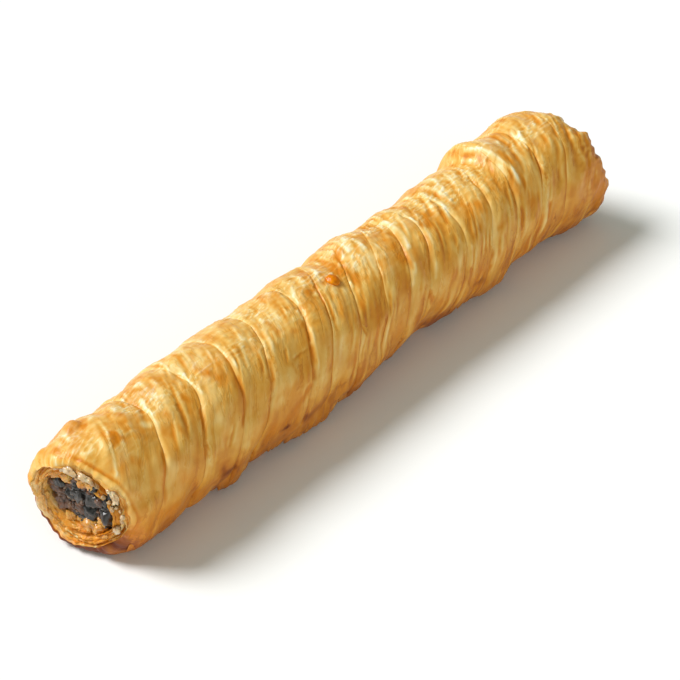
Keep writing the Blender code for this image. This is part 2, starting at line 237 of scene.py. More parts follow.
# Pinched ridges and dark grooves of the skin, raised and sunk in the relief; in the tone the ridges carry a
# painted highlight and the grooves painted shade: width in mm, strength, then the station and angle of each
# bend.
ridges = (
    (0.5, 1, (6.9, 47), (8.7, 52), (10.2, 61), (11.8, 70), (13.2, 78), (14.7, 85), (16.4, 93)),
    (0.8, 0.7, (27.8, 60), (29.2, 68), (30.2, 75), (30.6, 82), (31.2, 89), (32.2, 100)),
    (0.6, 1, (46.4, 62), (46.8, 73), (46.9, 80), (47.5, 86), (48.8, 93)),
    (0.7, 0.7, (60.4, 62), (61.6, 72), (62.1, 84), (63.2, 98)),
    (0.4, 0.6, (84.5, 20), (86.8, 30), (88.3, 42), (89.2, 48), (90.2, 58)),
    (0.6, 0.9, (90.2, 64), (90.8, 71), (91.7, 78)),
    (0.7, 0.8, (93.2, 79), (94.4, 84), (95.4, 90), (97, 96)),
    (1, 0.7, (106.6, 88), (108.5, 98), (110.5, 110)), (0.5, 0.7, (113.1, 63), (113.8, 72)),
    (0.9, 0.9, (121.3, 93), (123.5, 102), (126, 110), (129, 118)),
    (0.6, 0.8, (126, 84), (126.7, 94), (127.2, 104)),
    (0.6, 0.8, (128.2, 66), (129, 72), (129.7, 79), (130.4, 88)),
    (1, 0.4, (122, 33), (124, 42), (126, 52), (127.6, 60)),
    (0.7, 0.5, (130.4, 31), (132.5, 38), (134.5, 44), (135.7, 51)),
    (1, 1.3, (136.4, 59), (138.3, 66), (139.5, 71), (140.4, 76), (141, 84), (141.5, 92), (142.4, 101),
     (143.6, 112)),
    (0.5, 0.7, (148.3, 76), (148, 85), (148.3, 92), (149, 99), (150, 106)),
    (0.6, 0.4, (140.2, 25), (142, 33), (143.4, 40)),
    (0.5, 0.6, (155.2, 12), (156.8, 20), (157.8, 27), (158.8, 35)),
    (0.9, 0.7, (158.2, 62), (159.8, 73), (160.6, 82), (160.9, 92), (161.3, 114)),
    (0.8, 0.9, (163.6, 72), (164.3, 80), (164.7, 90), (165, 116)), (0.6, 0.4, (167.2, 40), (168, 51)),
    (0.8, 0.4, (171, 88), (171.6, 112)),
    (1, 0.9, (175, 59), (176.3, 65), (177.2, 71), (178.2, 83), (178.8, 94), (179.4, 106)),
    (0.8, 0.5, (177.8, 7), (180, 20), (182.4, 32), (184, 42)),
    (0.8, 0.7, (183, 47), (184.3, 55), (185.3, 63), (186.2, 72), (186.7, 80)),
    (0.8, 1.1, (187.8, 47), (188.2, 58), (188, 70), (188.3, 86), (187.8, 97), (187, 107), (186.2, 118)),
    (0.7, 0.6, (184.9, 94), (184.5, 106), (184.1, 118)),
    (0.5, 0.9, (200.4, 72), (201.2, 80), (202.3, 86), (203.6, 91), (205.6, 94)),
    (0.6, 0.5, (199.6, 46), (200.4, 58)), (0.7, 0.5, (209, 84), (212, 94), (214, 104)),
    (0.8, 0.4, (215.3, 10), (217, 25), (217.3, 38), (216.4, 52)), (0.6, 0.4, (221, 2), (221.4, 18)),
    (0.6, 0.4, (45.4, 11), (48, 21), (50, 28)), (0.5, 0.4, (47.4, 9), (50.2, 20), (52, 27)),
    (0.6, 0.4, (10, 94), (16, 108), (20, 118)), (0.6, 0.4, (34, 92), (36.6, 104), (38.5, 116)),
    (0.7, 0.4, (67, 94), (69, 108)), (0.6, 0.4, (99, 86), (102, 98), (104.4, 114)),
    (0.5, 0.4, (75, 18), (79, 17), (81, 17)), (0.4, 0.4, (78.4, 45), (85.6, 44)),
    (0.6, 0.4, (192, 84), (195.4, 96), (199, 106)),
)
grooves = (
    (0.55, 1, (2.6, 104), (4.4, 80), (6, 62), (7.5, 45), (8.6, 25), (8.8, 8), (8.3, -10), (7.4, -30)),
    (0.8, 0.9, (18.8, 0), (19.5, 8), (20.6, 20), (22.2, 31), (23.1, 37), (25.2, 47)),
    (0.7, 1, (36.3, 14), (37.8, 22), (39.2, 30), (40.2, 35), (41.5, 42), (42.6, 50), (43.8, 59)),
    (0.6, 1, (52.8, 18), (54.1, 25), (55.9, 31), (57, 38), (58, 47), (59, 56), (60, 62)),
    (0.6, 0.7, (62, 3), (63.2, 12), (65.2, 25), (66.5, 30)),
    (0.8, 1.1, (66.2, 29), (67.6, 34), (69, 40), (70.4, 48), (72, 57)),
    (0.8, 1.2, (82.4, 14), (83.2, 20), (84.3, 27), (85.3, 32), (86.3, 38), (87.6, 47)),
    (0.6, 0.7, (87.4, 46), (88.6, 53), (89.8, 61)),
    (1.2, 1, (83, 15), (79.5, 12), (77, 6), (73, 1), (70, -5), (67, -10)),
    (0.45, 0.8, (109, 46), (107.3, 38), (106.7, 31), (106.9, 25), (107.6, 17)),
    (1.1, 0.9, (114.1, 60), (115, 70), (115.8, 78), (116.8, 90), (118.5, 98), (120.4, 105), (122.6, 112)),
    (0.9, 0.7, (132.8, 42), (134.2, 52), (135, 59), (135.8, 66), (136.9, 73), (138.2, 81), (139, 90)),
    (0.9, 0.9, (137.5, 20), (137.2, 12), (137.7, 5)),
    (0.8, 0.5, (140.6, 38), (143.4, 48), (145.6, 59), (146.6, 67)),
    (0.9, 1, (155.4, 60), (156.6, 68), (157.6, 75), (158.6, 84)),
    (1.5, 0.7, (155.5, 14), (154.9, 6), (153.5, -3)), (0.6, 0.6, (162.8, 84), (163.1, 96), (163.2, 114)),
    (0.9, 0.5, (160.2, 36), (166.4, 42)), (0.9, 0.5, (173.4, 54), (175, 66), (176, 76), (176.7, 90)),
    (0.6, 0.7, (173, 24), (172.7, 12), (172.3, 3), (171.6, -5)), (0.9, 0.4, (170.2, 29), (176.6, 32)),
    (0.9, 1, (180.8, 3), (181.5, 13), (182.2, 20), (183.2, 27), (184.2, 36)),
    (0.5, 0.6, (186.8, 50), (187, 60), (187.2, 68)),
    (1.1, 0.7, (189.8, 44), (190.2, 60), (190.4, 72), (190.8, 88)),
    (0.7, 0.6, (186.2, 82), (185.8, 98), (185.4, 116)), (0.8, 1.2, (195.3, 3), (196.2, 12), (197.5, 21)),
    (0.8, 0.5, (198.8, 38), (199.4, 54), (199.2, 66)), (0.7, 0.4, (206.6, 60), (209, 78)),
    (1, 0.4, (31.4, 2), (32.2, -13)), (0.5, 0.5, (78, 42), (82, 43), (86, 42)),
    (0.4, 0.4, (77.4, 30), (77.6, 42)), (0.5, 0.5, (75, 20), (80, 16)),
    (0.7, 0.4, (12.6, 71), (14.6, 73), (15.8, 79), (15.2, 85)),
    (0.6, 0.4, (7.6, 53), (9.2, 62), (10.8, 70)), (0.5, 0.4, (46.2, 10), (49, 21), (51, 28)),
    (0.6, 0.4, (219, 20), (219.4, 36), (218.6, 48)), (0.6, 0.5, (124.6, 60), (126.4, 74)),
)

# stains: station, angle, half length, half width in degrees, then how amber and how brown
stains = (
    (3.6, 112, 1.6, 9, 0.9, 0), (6.6, 92, 1.4, 7, 0.5, 0), (14.5, 52, 2.6, 5, 0.6, 0.1),
    (14.7, 77, 1.8, 7, 1, 0), (31, 56, 3, 13, 0.5, 0.22), (33.4, 45, 3.2, 8, 0.3, 0.15),
    (23, 93, 1.3, 4, 0.8, 0.1), (51.2, 83, 2.4, 10, 0.7, 0), (54.4, 102, 1.4, 5, 0.6, 0),
    (48.6, 48, 3.4, 4, 0.4, 0.25), (41.6, 69, 1.6, 5, 0.6, 0), (54.6, 61, 2.6, 6, 0.5, 0.1),
    (31.9, -6, 1.6, 10, 0.2, 0.5), (43.5, -16, 4, 6, 0.2, 0.9), (20, -8, 6, 9, 0.5, 0.25),
    (12, 42, 1.8, 4, 0.7, 0.1), (11.2, 23, 0.9, 4, 0.5, 0.3), (9.6, 31, 1.4, 6, 0.5, 0.1),
    (12.5, 121, 3.4, 11, 0.9, 0), (9.4, 64, 1.8, 8, 0.5, 0), (16.5, 66, 2.4, 5, 0.5, 0),
    (80.2, 70, 1.4, 7, 0.8, 0.05), (84, 62, 3, 3, 0.6, 0.1), (89, 62, 2, 4, 0.7, 0.1),
    (76.8, 80, 2.6, 8, 0.4, 0.05), (100.4, 83, 1.6, 3, 0.8, 0), (104, 71, 1.6, 5, 0.6, 0.05),
    (115.4, 69, 1.2, 8, 0.9, 0.05), (116, 86, 1.4, 5, 0.8, 0.1), (119.8, 101, 2.2, 5, 0.6, 0),
    (121.6, 51, 1.6, 9, 0.6, 0.3), (122.2, 28, 1.8, 5, 0.5, 0.25), (137.4, 12, 1.2, 7, 0.7, 0.4),
    (133.4, 93, 2.6, 7, 0.5, 0), (133, 56, 1.4, 6, 0.6, 0.15), (150.6, 72, 3.6, 7, 0.7, 0.1),
    (152.5, 80, 3.8, 6, 0.45, 0.1), (146, 63, 1.6, 5, 0.6, 0.1), (156.6, 66, 1.3, 5, 0.9, 0.15),
    (165.4, 69, 2, 4, 0.8, 0.15), (148, 104, 1, 4, 0.6, 0), (154.4, 6, 2.6, 7, 0.5, 0.45),
    (160, -11, 3.6, 4, 0.3, 0.9), (120.6, -4, 2.6, 5, 0.6, 0.2), (130.6, -3, 3.6, 6, 0.3, 0.45),
    (169.6, 50, 1.4, 8, 0.6, 0.25), (168.8, 12, 2, 6, 0.4, 0.35), (172.8, 56, 1.4, 7, 0.6, 0.15),
    (189.6, 36, 2.8, 14, 0.6, 0.2), (187, 22, 3.4, 8, 0.4, 0.2), (185.8, 47, 1, 5, 0.7, 0.15),
    (204, 78, 2, 4, 0.7, 0), (206.6, 11, 1.8, 6, 0.3, 0.4), (209.6, -8, 2.6, 8, 0.4, 0.95),
    (218.9, 45, 0.8, 3, 0.1, 1.1), (212.6, 51, 1.3, 8, 0.4, 0.3), (213.6, 38, 2.4, 5, 0.4, 0.25),
    (219.4, 3, 1.8, 6, 0.4, 0.4), (224, 36, 1.8, 10, 0.4, 0.35), (222.6, 50, 1.2, 6, 0.7, 0.1),
    (181, 52, 1.4, 7, 0.5, 0.15), (109.3, 80.5, 3.2, 9, 1, 0), (69.5, -13, 2.4, 3, 0, 1.5),
    (93.5, -9, 1.8, 4, 0.1, 1.1), (77, -15, 2.6, 4, 0.1, 1.1), (84, -18, 6, 8, 0.3, 0.5),
    (98.5, 10, 3, 7, 0.4, 0.2), (79.5, 50.3, 0.5, 1.4, 0.1, 0.9), (91.6, 50, 0.6, 1.6, 0.1, 0.7),
    (47.8, 60.5, 0.6, 1.6, 0.2, 0.6), (203, 106, 5, 10, 0.4, 0), (211, 97, 2.4, 5, 0.4, 0),
)

# pale patches, some of them painted highlights, with the same places and sizes, then how pale
paleAndHighlightPatches = (
    (26.8, 73, 1.8, 3.5, 1), (44.4, 83, 1.1, 4, 1), (26.8, 100, 1.4, 14, 0.6), (6.8, 82, 2, 4, 0.9),
    (36, 90, 2, 2.5, 0.7), (38.5, 109, 2, 7, 0.7), (70.3, 81, 1.1, 8, 1), (84.6, 85, 1.2, 10, 0.9),
    (100.6, 78, 1, 2.5, 1), (109.2, 66, 2.2, 3, 0.8), (106, 69, 1.2, 3, 0.8), (77.8, 102, 1.2, 5, 0.7),
    (38, 7, 2.6, 7, 0.7), (41.5, 22, 2.4, 8, 0.6), (45.6, 38, 2, 7, 0.45), (53, 3, 2, 4, 0.5),
    (68.5, 19, 4.4, 6, 0.6), (74.5, 34, 3.6, 7, 0.55), (87.4, 10, 3.4, 5, 0.5), (15.5, 26, 4, 9, 0.3),
    (27, 28, 3.4, 10, 0.35), (98.6, 47, 1.6, 4, 0.4), (119.8, 80, 1.3, 9, 0.9), (152.4, 32, 2.6, 14, 0.7),
    (143, 25, 2, 5, 0.35), (176.4, 40, 2.4, 5, 0.45), (204, 30, 2.4, 12, 0.35), (207.5, 81, 2.4, 6, 0.4),
    (195.4, 98, 3, 5, 0.6), (195.5, 82, 3.4, 6, 0.35), (118, 14, 4, 6, 0.3), (124.5, 24, 3, 6, 0.3),
    (134.5, 103, 1.6, 5, 0.6),
)

# how the fine surface is drawn out along the folds
crinkle = {
    "ridgeHeight": 0.10,
    "valleyDepth": 0.10,
    "pitch": 0.30,
    "run": 0.11,
    "sway": 1.6,
    "fineHeight": 0.11,
    "finePitch": 0.75,
    "fineRun": 0.26,
    "lumpHeight": 0.28,
    "lumpPitch": 0.14,
    "blisterHeight": 0.26,
    "blisterPitch": 0.42,
    "grainHeight": 0.04,
    "grainPitch": 1.3,
    "crinkleRise": 0.30,
    "strokeRise": 0.26,
    "strokeSink": 0.30,
}


def wrinkleRows():
    draw = random.Random(wrinkles["seed"])
    rows = list(wrinkles["sheetEdges"])
    for _ in range(wrinkles["count"]):
        place = draw.uniform(4.0, roll["length"] - 4.0)
        angle = draw.uniform(-40.0, 230.0)
        halfLength = draw.uniform(12.0, 40.0)
        width = draw.uniform(1.8, 3.2)
        height = draw.choice((-1.0, -0.8, 0.7, 1.0))
        rows.append((place, angle, halfLength, width, height))
    return rows


def wrinkleHeight(x, angle):
    height = np.zeros_like(x)
    for place, centre, halfLength, width, rise in wrinkleRows():
        reach = turned(angle, centre) / halfLength
        lean = leanAt(angle) - float(leanAt(np.array(centre)))
        across = (x - place - lean - wrinkles["bow"] * reach * reach) / width
        ends = np.clip(1.0 - reach * reach, 0.0, 1.0) ** 2
        height += rise * ends * np.exp(-across * across)
    return height * wrinkles["depth"]


def fineWrinkles(x, angle):
    # short creases a millimetre wide, pale along one side and dark along the other: raised and sunk in the
    # relief, and in the tone a painted highlight and painted shade
    count, seed, _ = wrinkles["fine"]
    draw = random.Random(seed)
    field = np.zeros_like(x)
    scale = math.radians(1.0) * roll["radius"]
    for _ in range(count):
        place = 4.0 + (roll["length"] - 8.0) * draw.random() ** 0.75
        centre = draw.uniform(-38.0, 128.0)
        halfLength = draw.uniform(7.0, 24.0)
        width = draw.uniform(0.45, 0.95)
        strength = draw.uniform(0.4, 1.0)
        if place < 100.0 and centre < 50.0:
            strength *= 0.25
        slant = draw.uniform(-0.05, 0.08) + (0.22 if centre > 75.0 else 0.0)
        bow = draw.uniform(-1.2, 1.2)
        near = (np.abs(x - place - leanAt(angle) + float(leanAt(np.array(centre)))) < 9.0)
        near &= np.abs(turned(angle, centre)) < halfLength
        if not near.any():
            continue
        away = turned(angle[near], centre)
        reach = away / halfLength
        lean = leanAt(angle[near]) - float(leanAt(np.array(centre)))
        across = (x[near] - place - lean - slant * away * scale * 0.6 - bow * reach * reach) / width
        ends = (1.0 - reach * reach) ** 1.5
        field[near] += strength * ends * (np.exp(-across * across) - 0.8 * np.exp(-(across + 1.5) ** 2))
    return np.clip(field, -1.0, 1.2)


def lumpHeight(x, angle):
    height = np.zeros_like(x)
    for place, centre, radius, rise in wrinkles["rimLumps"]:
        arc = np.radians(turned(angle, centre)) * roll["radius"]
        distance = np.hypot(x - place, arc) / radius
        height += rise * np.sqrt(np.clip(1.0 - distance * distance, 0.0, 1.0))
    return height


def swellHeight(x, angle):
    turn = np.radians(angle)
    height = np.zeros_like(x)
    for pitch, turnPitch, rise in wrinkles["swells"]:
        height += rise * noiseOver(x * pitch, turnPitch * np.cos(turn), turnPitch * np.sin(turn))
    return height


def pleatHeight(fromCrease, toCrease, lip, angle):
    rise = 1.0 - np.exp(-fromCrease / 0.6)
    sink = 1.0 - np.exp(-toCrease / 1.8)
    ridge = np.exp(-(((fromCrease - 1.0) / 0.7) ** 2)) * lobe(angle, 90.0, 75.0)
    uneven = 0.8 + 0.25 * np.sin(np.radians(2.0 * angle) + 9.0 * lip)
    uneven = uneven + 0.15 * np.sin(np.radians(5.0 * angle) - 23.0 * lip)
    pressed = 1.0 - 0.6 * lobe(angle, 270.0, 60.0)
    soft = 0.60 - 0.38 * lobe(angle, 118.0, 72.0)
    return soft * lip * uneven * pressed * (1.4 * rise * sink - 0.8 + 0.08 * ridge)


def rimDropAt(distance):
    share = np.clip(1.0 - distance / roll["rimLength"], 0.0, 1.0)
    return roll["rimDrop"] * (1.0 - np.sqrt(np.clip(1.0 - share * share, 0.0, 1.0)))


def strokeField(strokes, x, angle):
    # how strongly each place lies on one of the strokes
    field = np.zeros_like(x)
    scale = math.radians(1.0) * roll["radius"]
    for width, strength, *bends in strokes:
        places = [bend[0] for bend in bends]
        angles = [bend[1] for bend in bends]
        near = (x > min(places) - 4.0 * width) & (x < max(places) + 4.0 * width)
        middle, halfTurn = 0.5 * (min(angles) + max(angles)), 0.5 * (max(angles) - min(angles))
        near &= np.abs(turned(angle, middle)) < halfTurn + 12.0
        if not near.any():
            continue
        px, pa = x[near], turned(angle[near], 0.0) * scale
        pa = pa + 0.25 * width * np.sin(px * 3.1)
        away = np.full_like(px, 1e9)
        share = np.zeros_like(px)
        steps = [math.hypot(x1 - x0, (a1 - a0) * scale) for (x0, a0), (x1, a1) in zip(bends, bends[1:])]
        done = 0.0
        for (x0, a0), (x1, a1), step in zip(bends, bends[1:], steps):
            dx, da = x1 - x0, (a1 - a0) * scale
            reach = np.clip(((px - x0) * dx + (pa - a0 * scale) * da) / (step * step), 0.0, 1.0)
            distance = np.hypot(px - x0 - reach * dx, pa - a0 * scale - reach * da)
            closer = distance < away
            away = np.where(closer, distance, away)
            share = np.where(closer, (done + reach * step) / sum(steps), share)
            done += step
        ends = smooth(np.minimum(share, 1.0 - share) / 0.18 + 0.1)
        uneven = 0.85 + 0.25 * np.sin(share * 9.0 + width * 40.0 + places[0])
        thin = 0.8 * width
        field[near] = np.maximum(field[near], strength * ends * uneven * np.exp(-((away / thin) ** 2)))
    return field


def stainFields(x, angle):
    turn = np.radians(angle)
    wander = noiseOver(x * 0.35, 5.0 * np.cos(turn), 5.0 * np.sin(turn))

    def patch(place, centre, halfLength, halfWidth):
        away = np.hypot((x - place) / halfLength, turned(angle, centre) / halfWidth)
        return smooth(0.8 - 0.55 * away + 0.9 * wander)

    amber, brown, pale = np.zeros((3, *x.shape))
    for *where, amberShare, brownShare in stains:
        shown = patch(*where)
        amber += amberShare * shown
        brown += brownShare * shown
    for *where, share in paleAndHighlightPatches:
        pale += share * patch(*where)
    return amber, brown, pale


def crinklesAndHighlights(x, angle):
    # small crinkles of the top, drawn out along the roll: raised in the relief and painted pale as
    # highlights in the tone
    across, upward = [1.15 * place for place in ringPlace(angle)]
    lean = 0.25 * turned(angle, 90.0)
    field = noiseOver(0.24 * (x - lean), 0.8 * across, 0.8 * upward)
    where = noiseOver(0.08 * x, 0.1 * across + 7.0, 0.1 * upward)
    ridge = np.clip(1.0 - 5.5 * np.abs(field - 0.10), 0.0, 1.0)
    return ridge * smooth(0.6 + 1.6 * where) * lobe(angle, 102.0, 62.0)


def calmFlank(x, angle):
    # the flank of the near half is smoother than the rest
    return lobe(angle, 15.0, 60.0) * smooth((108.0 - x) / 20.0)


def fineHeight(x, angle):
    across, upward = ringPlace(angle)
    bent = x - leanAt(angle) + crinkle["sway"] * noiseOver(x * 0.09, across * 0.09, upward * 0.09)

    def drawn(pitch, run, offset):
        return noiseOver(bent * pitch + offset, across * run, upward * run)

    def even(pitch):
        return noiseOver(x * pitch, across * pitch, upward * pitch)

    ridge = np.clip(1.0 - 3.0 * np.abs(drawn(crinkle["pitch"], crinkle["run"], 3.0)), 0.0, 1.0) ** 1.6
    valley = np.clip(1.0 - 3.2 * np.abs(drawn(crinkle["pitch"], crinkle["run"], 47.0)), 0.0, 1.0) ** 1.6
    fine = drawn(crinkle["finePitch"], crinkle["fineRun"], 11.0)
    where = noiseOver(x * 0.045, across * 0.06 + 9.0, upward * 0.06)
    farther = 0.35 * smooth((x - 95.0) / 30.0)
    higher = 0.25 * smooth((angle - 45.0) / 40.0)
    busy = smooth(0.55 + 1.3 * where + farther + higher) * (1.0 - 0.85 * calmFlank(x, angle))
    blister = np.clip(even(crinkle["blisterPitch"]), -0.1, 1.0) * (0.35 + 0.65 * lobe(angle, 100.0, 70.0))
    height = busy * (crinkle["ridgeHeight"] * ridge - crinkle["valleyDepth"] * valley)
    height = height + busy * crinkle["fineHeight"] * fine
    height = height + crinkle["lumpHeight"] * even(crinkle["lumpPitch"])
    height = height + crinkle["blisterHeight"] * blister
    height = height + crinkle["crinkleRise"] * crinklesAndHighlights(x, angle)
    height = height + wrinkles["fine"][2] * fineWrinkles(x, angle)
    height = height + crinkle["strokeRise"] * strokeField(ridges, x, angle)
    height = height - crinkle["strokeSink"] * strokeField(grooves, x, angle)
    return height + crinkle["grainHeight"] * even(crinkle["grainPitch"])


def blurred(field, rows, steps):
    # a running mean over the grid: it wraps round the roll and holds at the ends
    padded = np.pad(field, ((rows, rows), (0, 0)), mode="edge")
    total = np.cumsum(np.vstack((np.zeros((1, padded.shape[1])), padded)), axis=0)
    field = (total[2 * rows + 1:] - total[:-2 * rows - 1]) / (2 * rows + 1)
    padded = np.pad(field, ((0, 0), (steps, steps)), mode="wrap")
    total = np.cumsum(np.hstack((np.zeros((padded.shape[0], 1)), padded)), axis=1)
    return (total[:, 2 * steps + 1:] - total[:, :-2 * steps - 1]) / (2 * steps + 1)


# making meshes

def deselectAll():
    bpy.ops.object.select_all(action="DESELECT")


def choose(piece):
    deselectAll()
    piece.select_set(True)
    bpy.context.view_layer.objects.active = piece


def setPoints(piece, points):
    piece.data.vertices.foreach_set("co", np.ascontiguousarray(points, dtype=np.float64).ravel())
    piece.data.update()


def giveField(piece, name, values):
    # a number or a vector on every point, for the material to read
    kind = "FLOAT_VECTOR" if values.ndim > 1 else "FLOAT"
    layer = piece.data.attributes.new(name, kind, "POINT")
    layer.data.foreach_set("vector" if values.ndim > 1 else "value", values.astype(np.float32).ravel())


def newGrid(name, across, deep):
    # a flat grid with across by deep faces, to be rolled or bent in code
    deselectAll()
    bpy.ops.mesh.primitive_grid_add(x_subdivisions=across, y_subdivisions=deep, size=0.04)
    piece = bpy.context.object
    piece.name = name
    piece.data.name = name
    return piece


def closeSeams(piece):
    choose(piece)
    bpy.ops.object.mode_set(mode="EDIT")
    bpy.ops.mesh.select_all(action="SELECT")
    bpy.ops.mesh.remove_doubles(threshold=0.000002)
    bpy.ops.mesh.normals_make_consistent(inside=False)
    bpy.ops.object.mode_set(mode="OBJECT")
    bpy.ops.object.shade_smooth()


def settle(piece):
    # a finished piece stands at the origin, with its place in its mesh
    choose(piece)
    bpy.ops.object.transform_apply(location=True, rotation=True, scale=True)


def finishPiece(piece, material, nodes=()):
    piece.data.materials.clear()
    piece.data.materials.append(material)
    settle(piece)
    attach(piece, "root")
    if nodes:
        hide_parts(*nodes)


# materials

def newMaterial(name):
    material = bpy.data.materials.new(name)
    material.use_nodes = True
    return material, material.node_tree, material.node_tree.nodes["Principled BSDF"]


def addNode(tree, kind, settings=(), values=()):
    node = tree.nodes.new(kind)
    for key, value in dict(settings).items():
        setattr(node, key, value)
    for key, value in dict(values).items():
        node.inputs[key].default_value = value
    return node


def readField(tree, name):
    return addNode(tree, "ShaderNodeAttribute", {"attribute_name": name})


def maths(tree, operation, first, second, clamp=False):
    node = addNode(tree, "ShaderNodeMath", {"operation": operation, "use_clamp": clamp})
    for socket, source in zip(node.inputs, (first, second)):
        if isinstance(source, (int, float)):
            socket.default_value = source
        else:
            tree.links.new(source, socket)
    return node.outputs[0]


def colourRamp(tree, source, stops):
    node = addNode(tree, "ShaderNodeValToRGB")
    ramp = node.color_ramp
    while len(ramp.elements) < len(stops):
        ramp.elements.new(0.5)
    for element, (place, colour) in zip(ramp.elements, stops):
        element.position = place
        element.color = (*colour, 1.0)
    tree.links.new(source, node.inputs[0])
    return node.outputs[0]


def mixColour(tree, share, first, second, blend="MIX"):
    node = addNode(tree, "ShaderNodeMix", {"data_type": "RGBA", "blend_type": blend})
    for socket, source in zip((node.inputs[0], node.inputs[6], node.inputs[7]), (share, first, second)):
        if isinstance(source, (int, float)):
            socket.default_value = source
        elif isinstance(source, tuple):
            socket.default_value = (*source, 1.0)
        else:
            tree.links.new(source, socket)
    return node.outputs[2]


def noiseNode(tree, vector, scale, detail=4.0, roughness=0.55, distortion=0.0):
    node = addNode(tree, "ShaderNodeTexNoise", {}, {
        "Scale": scale, "Detail": detail, "Roughness": roughness, "Distortion": distortion,
    })
    tree.links.new(vector, node.inputs["Vector"])
    return node.outputs[0]


def bumpNode(tree, height, strength, distance, under=None):
    node = addNode(tree, "ShaderNodeBump", {}, {"Strength": strength, "Distance": distance})
    tree.links.new(height, node.inputs["Height"])
    if under is not None:
        tree.links.new(under, node.inputs["Normal"])
    return node.outputs[0]


def swing(tree, source, reach):
    # a noise that lies about 0.5, to a shift of half the reach to either side
    shift = maths(tree, "MULTIPLY_ADD", source, reach)
    shift.node.inputs[2].default_value = -0.5 * reach
    return shift


def setSockets(shader, values):
    for name, value in values.items():
        shader.inputs[name].default_value = value


def srgb(red, green, blue):
    # a colour as seen on screen, to the renderer's linear values
    return tuple((value / 255.0 / 12.92) if value < 11 else ((value / 255.0 + 0.055) / 1.055) ** 2.4
                 for value in (red, green, blue))


phylloLook = {
    "ramp": (
        (0.00, srgb(110, 48, 12)), (0.15, srgb(158, 82, 18)), (0.30, srgb(200, 121, 32)),
        (0.45, srgb(226, 160, 58)), (0.60, srgb(236, 186, 96)), (0.75, srgb(244, 207, 134)),
        (0.90, srgb(250, 227, 174)), (1.00, srgb(253, 239, 205)),
    ),
    "amber": srgb(216, 130, 14),
    "streaks": 0.08,
    "flecks": 0.06,
    "clouds": 0.07,
    # thin torn edges: size of the sheets, how many, tone and height, and the step at each edge; the tone
    # paints a highlight on each edge and shade at its foot
    "layers": (0.36, 5.0, 0.13, 0.0005),
    "edges": ((0.0, 1.0), (0.14, 0.62), (0.5, 0.5), (0.82, 0.42), (0.97, 0.0)),
    "roughness": (0.38, 0.58),
    "coat": 0.34,
    "coatRoughness": 0.24,
    "subsurface": 0.08,
    "subsurfaceRadius": (1.0, 0.6, 0.3),
    # the same pastry where it is soaked, in the mouths
    "soaked": {"Coat Weight": 0.45, "Coat Roughness": 0.16, "Subsurface Weight": 0.30},
}


def phylloMaterial():
    material, tree, shader = newMaterial("bakedPhyllo")
    fold = readField(tree, "fold").outputs["Vector"]
    tone = readField(tree, "tone").outputs["Fac"]
    amber = readField(tree, "amber").outputs["Fac"]
    place = addNode(tree, "ShaderNodeTexCoord").outputs["Object"]
    streak = noiseNode(tree, fold, 1.0, 5.0, 0.6, 0.3)
    fleck = noiseNode(tree, place, 900.0, 3.0, 0.6)
    cloud = noiseNode(tree, place, 170.0, 3.0, 0.55)
    size, count, edgeHighlightAndShade, edgeHeight = phylloLook["layers"]
    layered = maths(tree, "MULTIPLY", noiseNode(tree, fold, size, 4.0, 0.6, 0.5), count)
    stops = [(step, (level, level, level)) for step, level in phylloLook["edges"]]
    edges = colourRamp(tree, maths(tree, "FRACT", layered, 0.0), stops)
    # each torn edge is painted pale as a highlight, with painted shade at its foot
    broad = maths(tree, "ADD", swing(tree, streak, phylloLook["streaks"]), swing(tree, edges, edgeHighlightAndShade))
    flecks = swing(tree, fleck, phylloLook["flecks"])
    small = maths(tree, "ADD", flecks, swing(tree, cloud, phylloLook["clouds"]))
    shade = maths(tree, "ADD", maths(tree, "ADD", tone, broad), small, True)
    share = maths(tree, "MULTIPLY", amber, maths(tree, "ADD", streak, 0.40), True)
    colour = mixColour(tree, share, colourRamp(tree, shade, phylloLook["ramp"]), phylloLook["amber"])
    tree.links.new(colour, shader.inputs["Base Color"])
    low, high = phylloLook["roughness"]
    rough = addNode(tree, "ShaderNodeMapRange", {}, {"To Min": low, "To Max": high})
    tree.links.new(streak, rough.inputs["Value"])
    tree.links.new(rough.outputs[0], shader.inputs["Roughness"])
    wave = bumpNode(tree, cloud, 0.30, 0.0006, bumpNode(tree, edges, 0.35, edgeHeight))
    tree.links.new(bumpNode(tree, fleck, 0.15, 0.0001, wave), shader.inputs["Normal"])
    # the paler the pastry, the more it shines
    tree.links.new(maths(tree, "MULTIPLY", shade, phylloLook["coat"]), shader.inputs["Coat Weight"])
    setSockets(shader, {
        "Specular IOR Level": 0.25, "Coat Roughness": phylloLook["coatRoughness"],
        "Subsurface Weight": phylloLook["subsurface"], "Subsurface Radius": phylloLook["subsurfaceRadius"],
        "Subsurface Scale": 0.0015,
    })
    return material


def soakedMaterial():
    material = phyllo.copy()
    material.name = "soakedPhyllo"
    tree = material.node_tree
    shader = tree.nodes["Principled BSDF"]
    tree.links.remove(shader.inputs["Coat Weight"].links[0])
    setSockets(shader, phylloLook["soaked"])
    return material


minceLook = {
    "ramp": (
        (0.00, srgb(24, 20, 19)), (0.35, srgb(44, 37, 34)), (0.55, srgb(78, 48, 30)),
        (0.75, srgb(112, 66, 36)), (1.00, srgb(146, 122, 98)),
    ),
    "grain": 0.7,
    "gloss": {"Roughness": 0.36, "Coat Weight": 0.5, "Coat Roughness": 0.12},
}


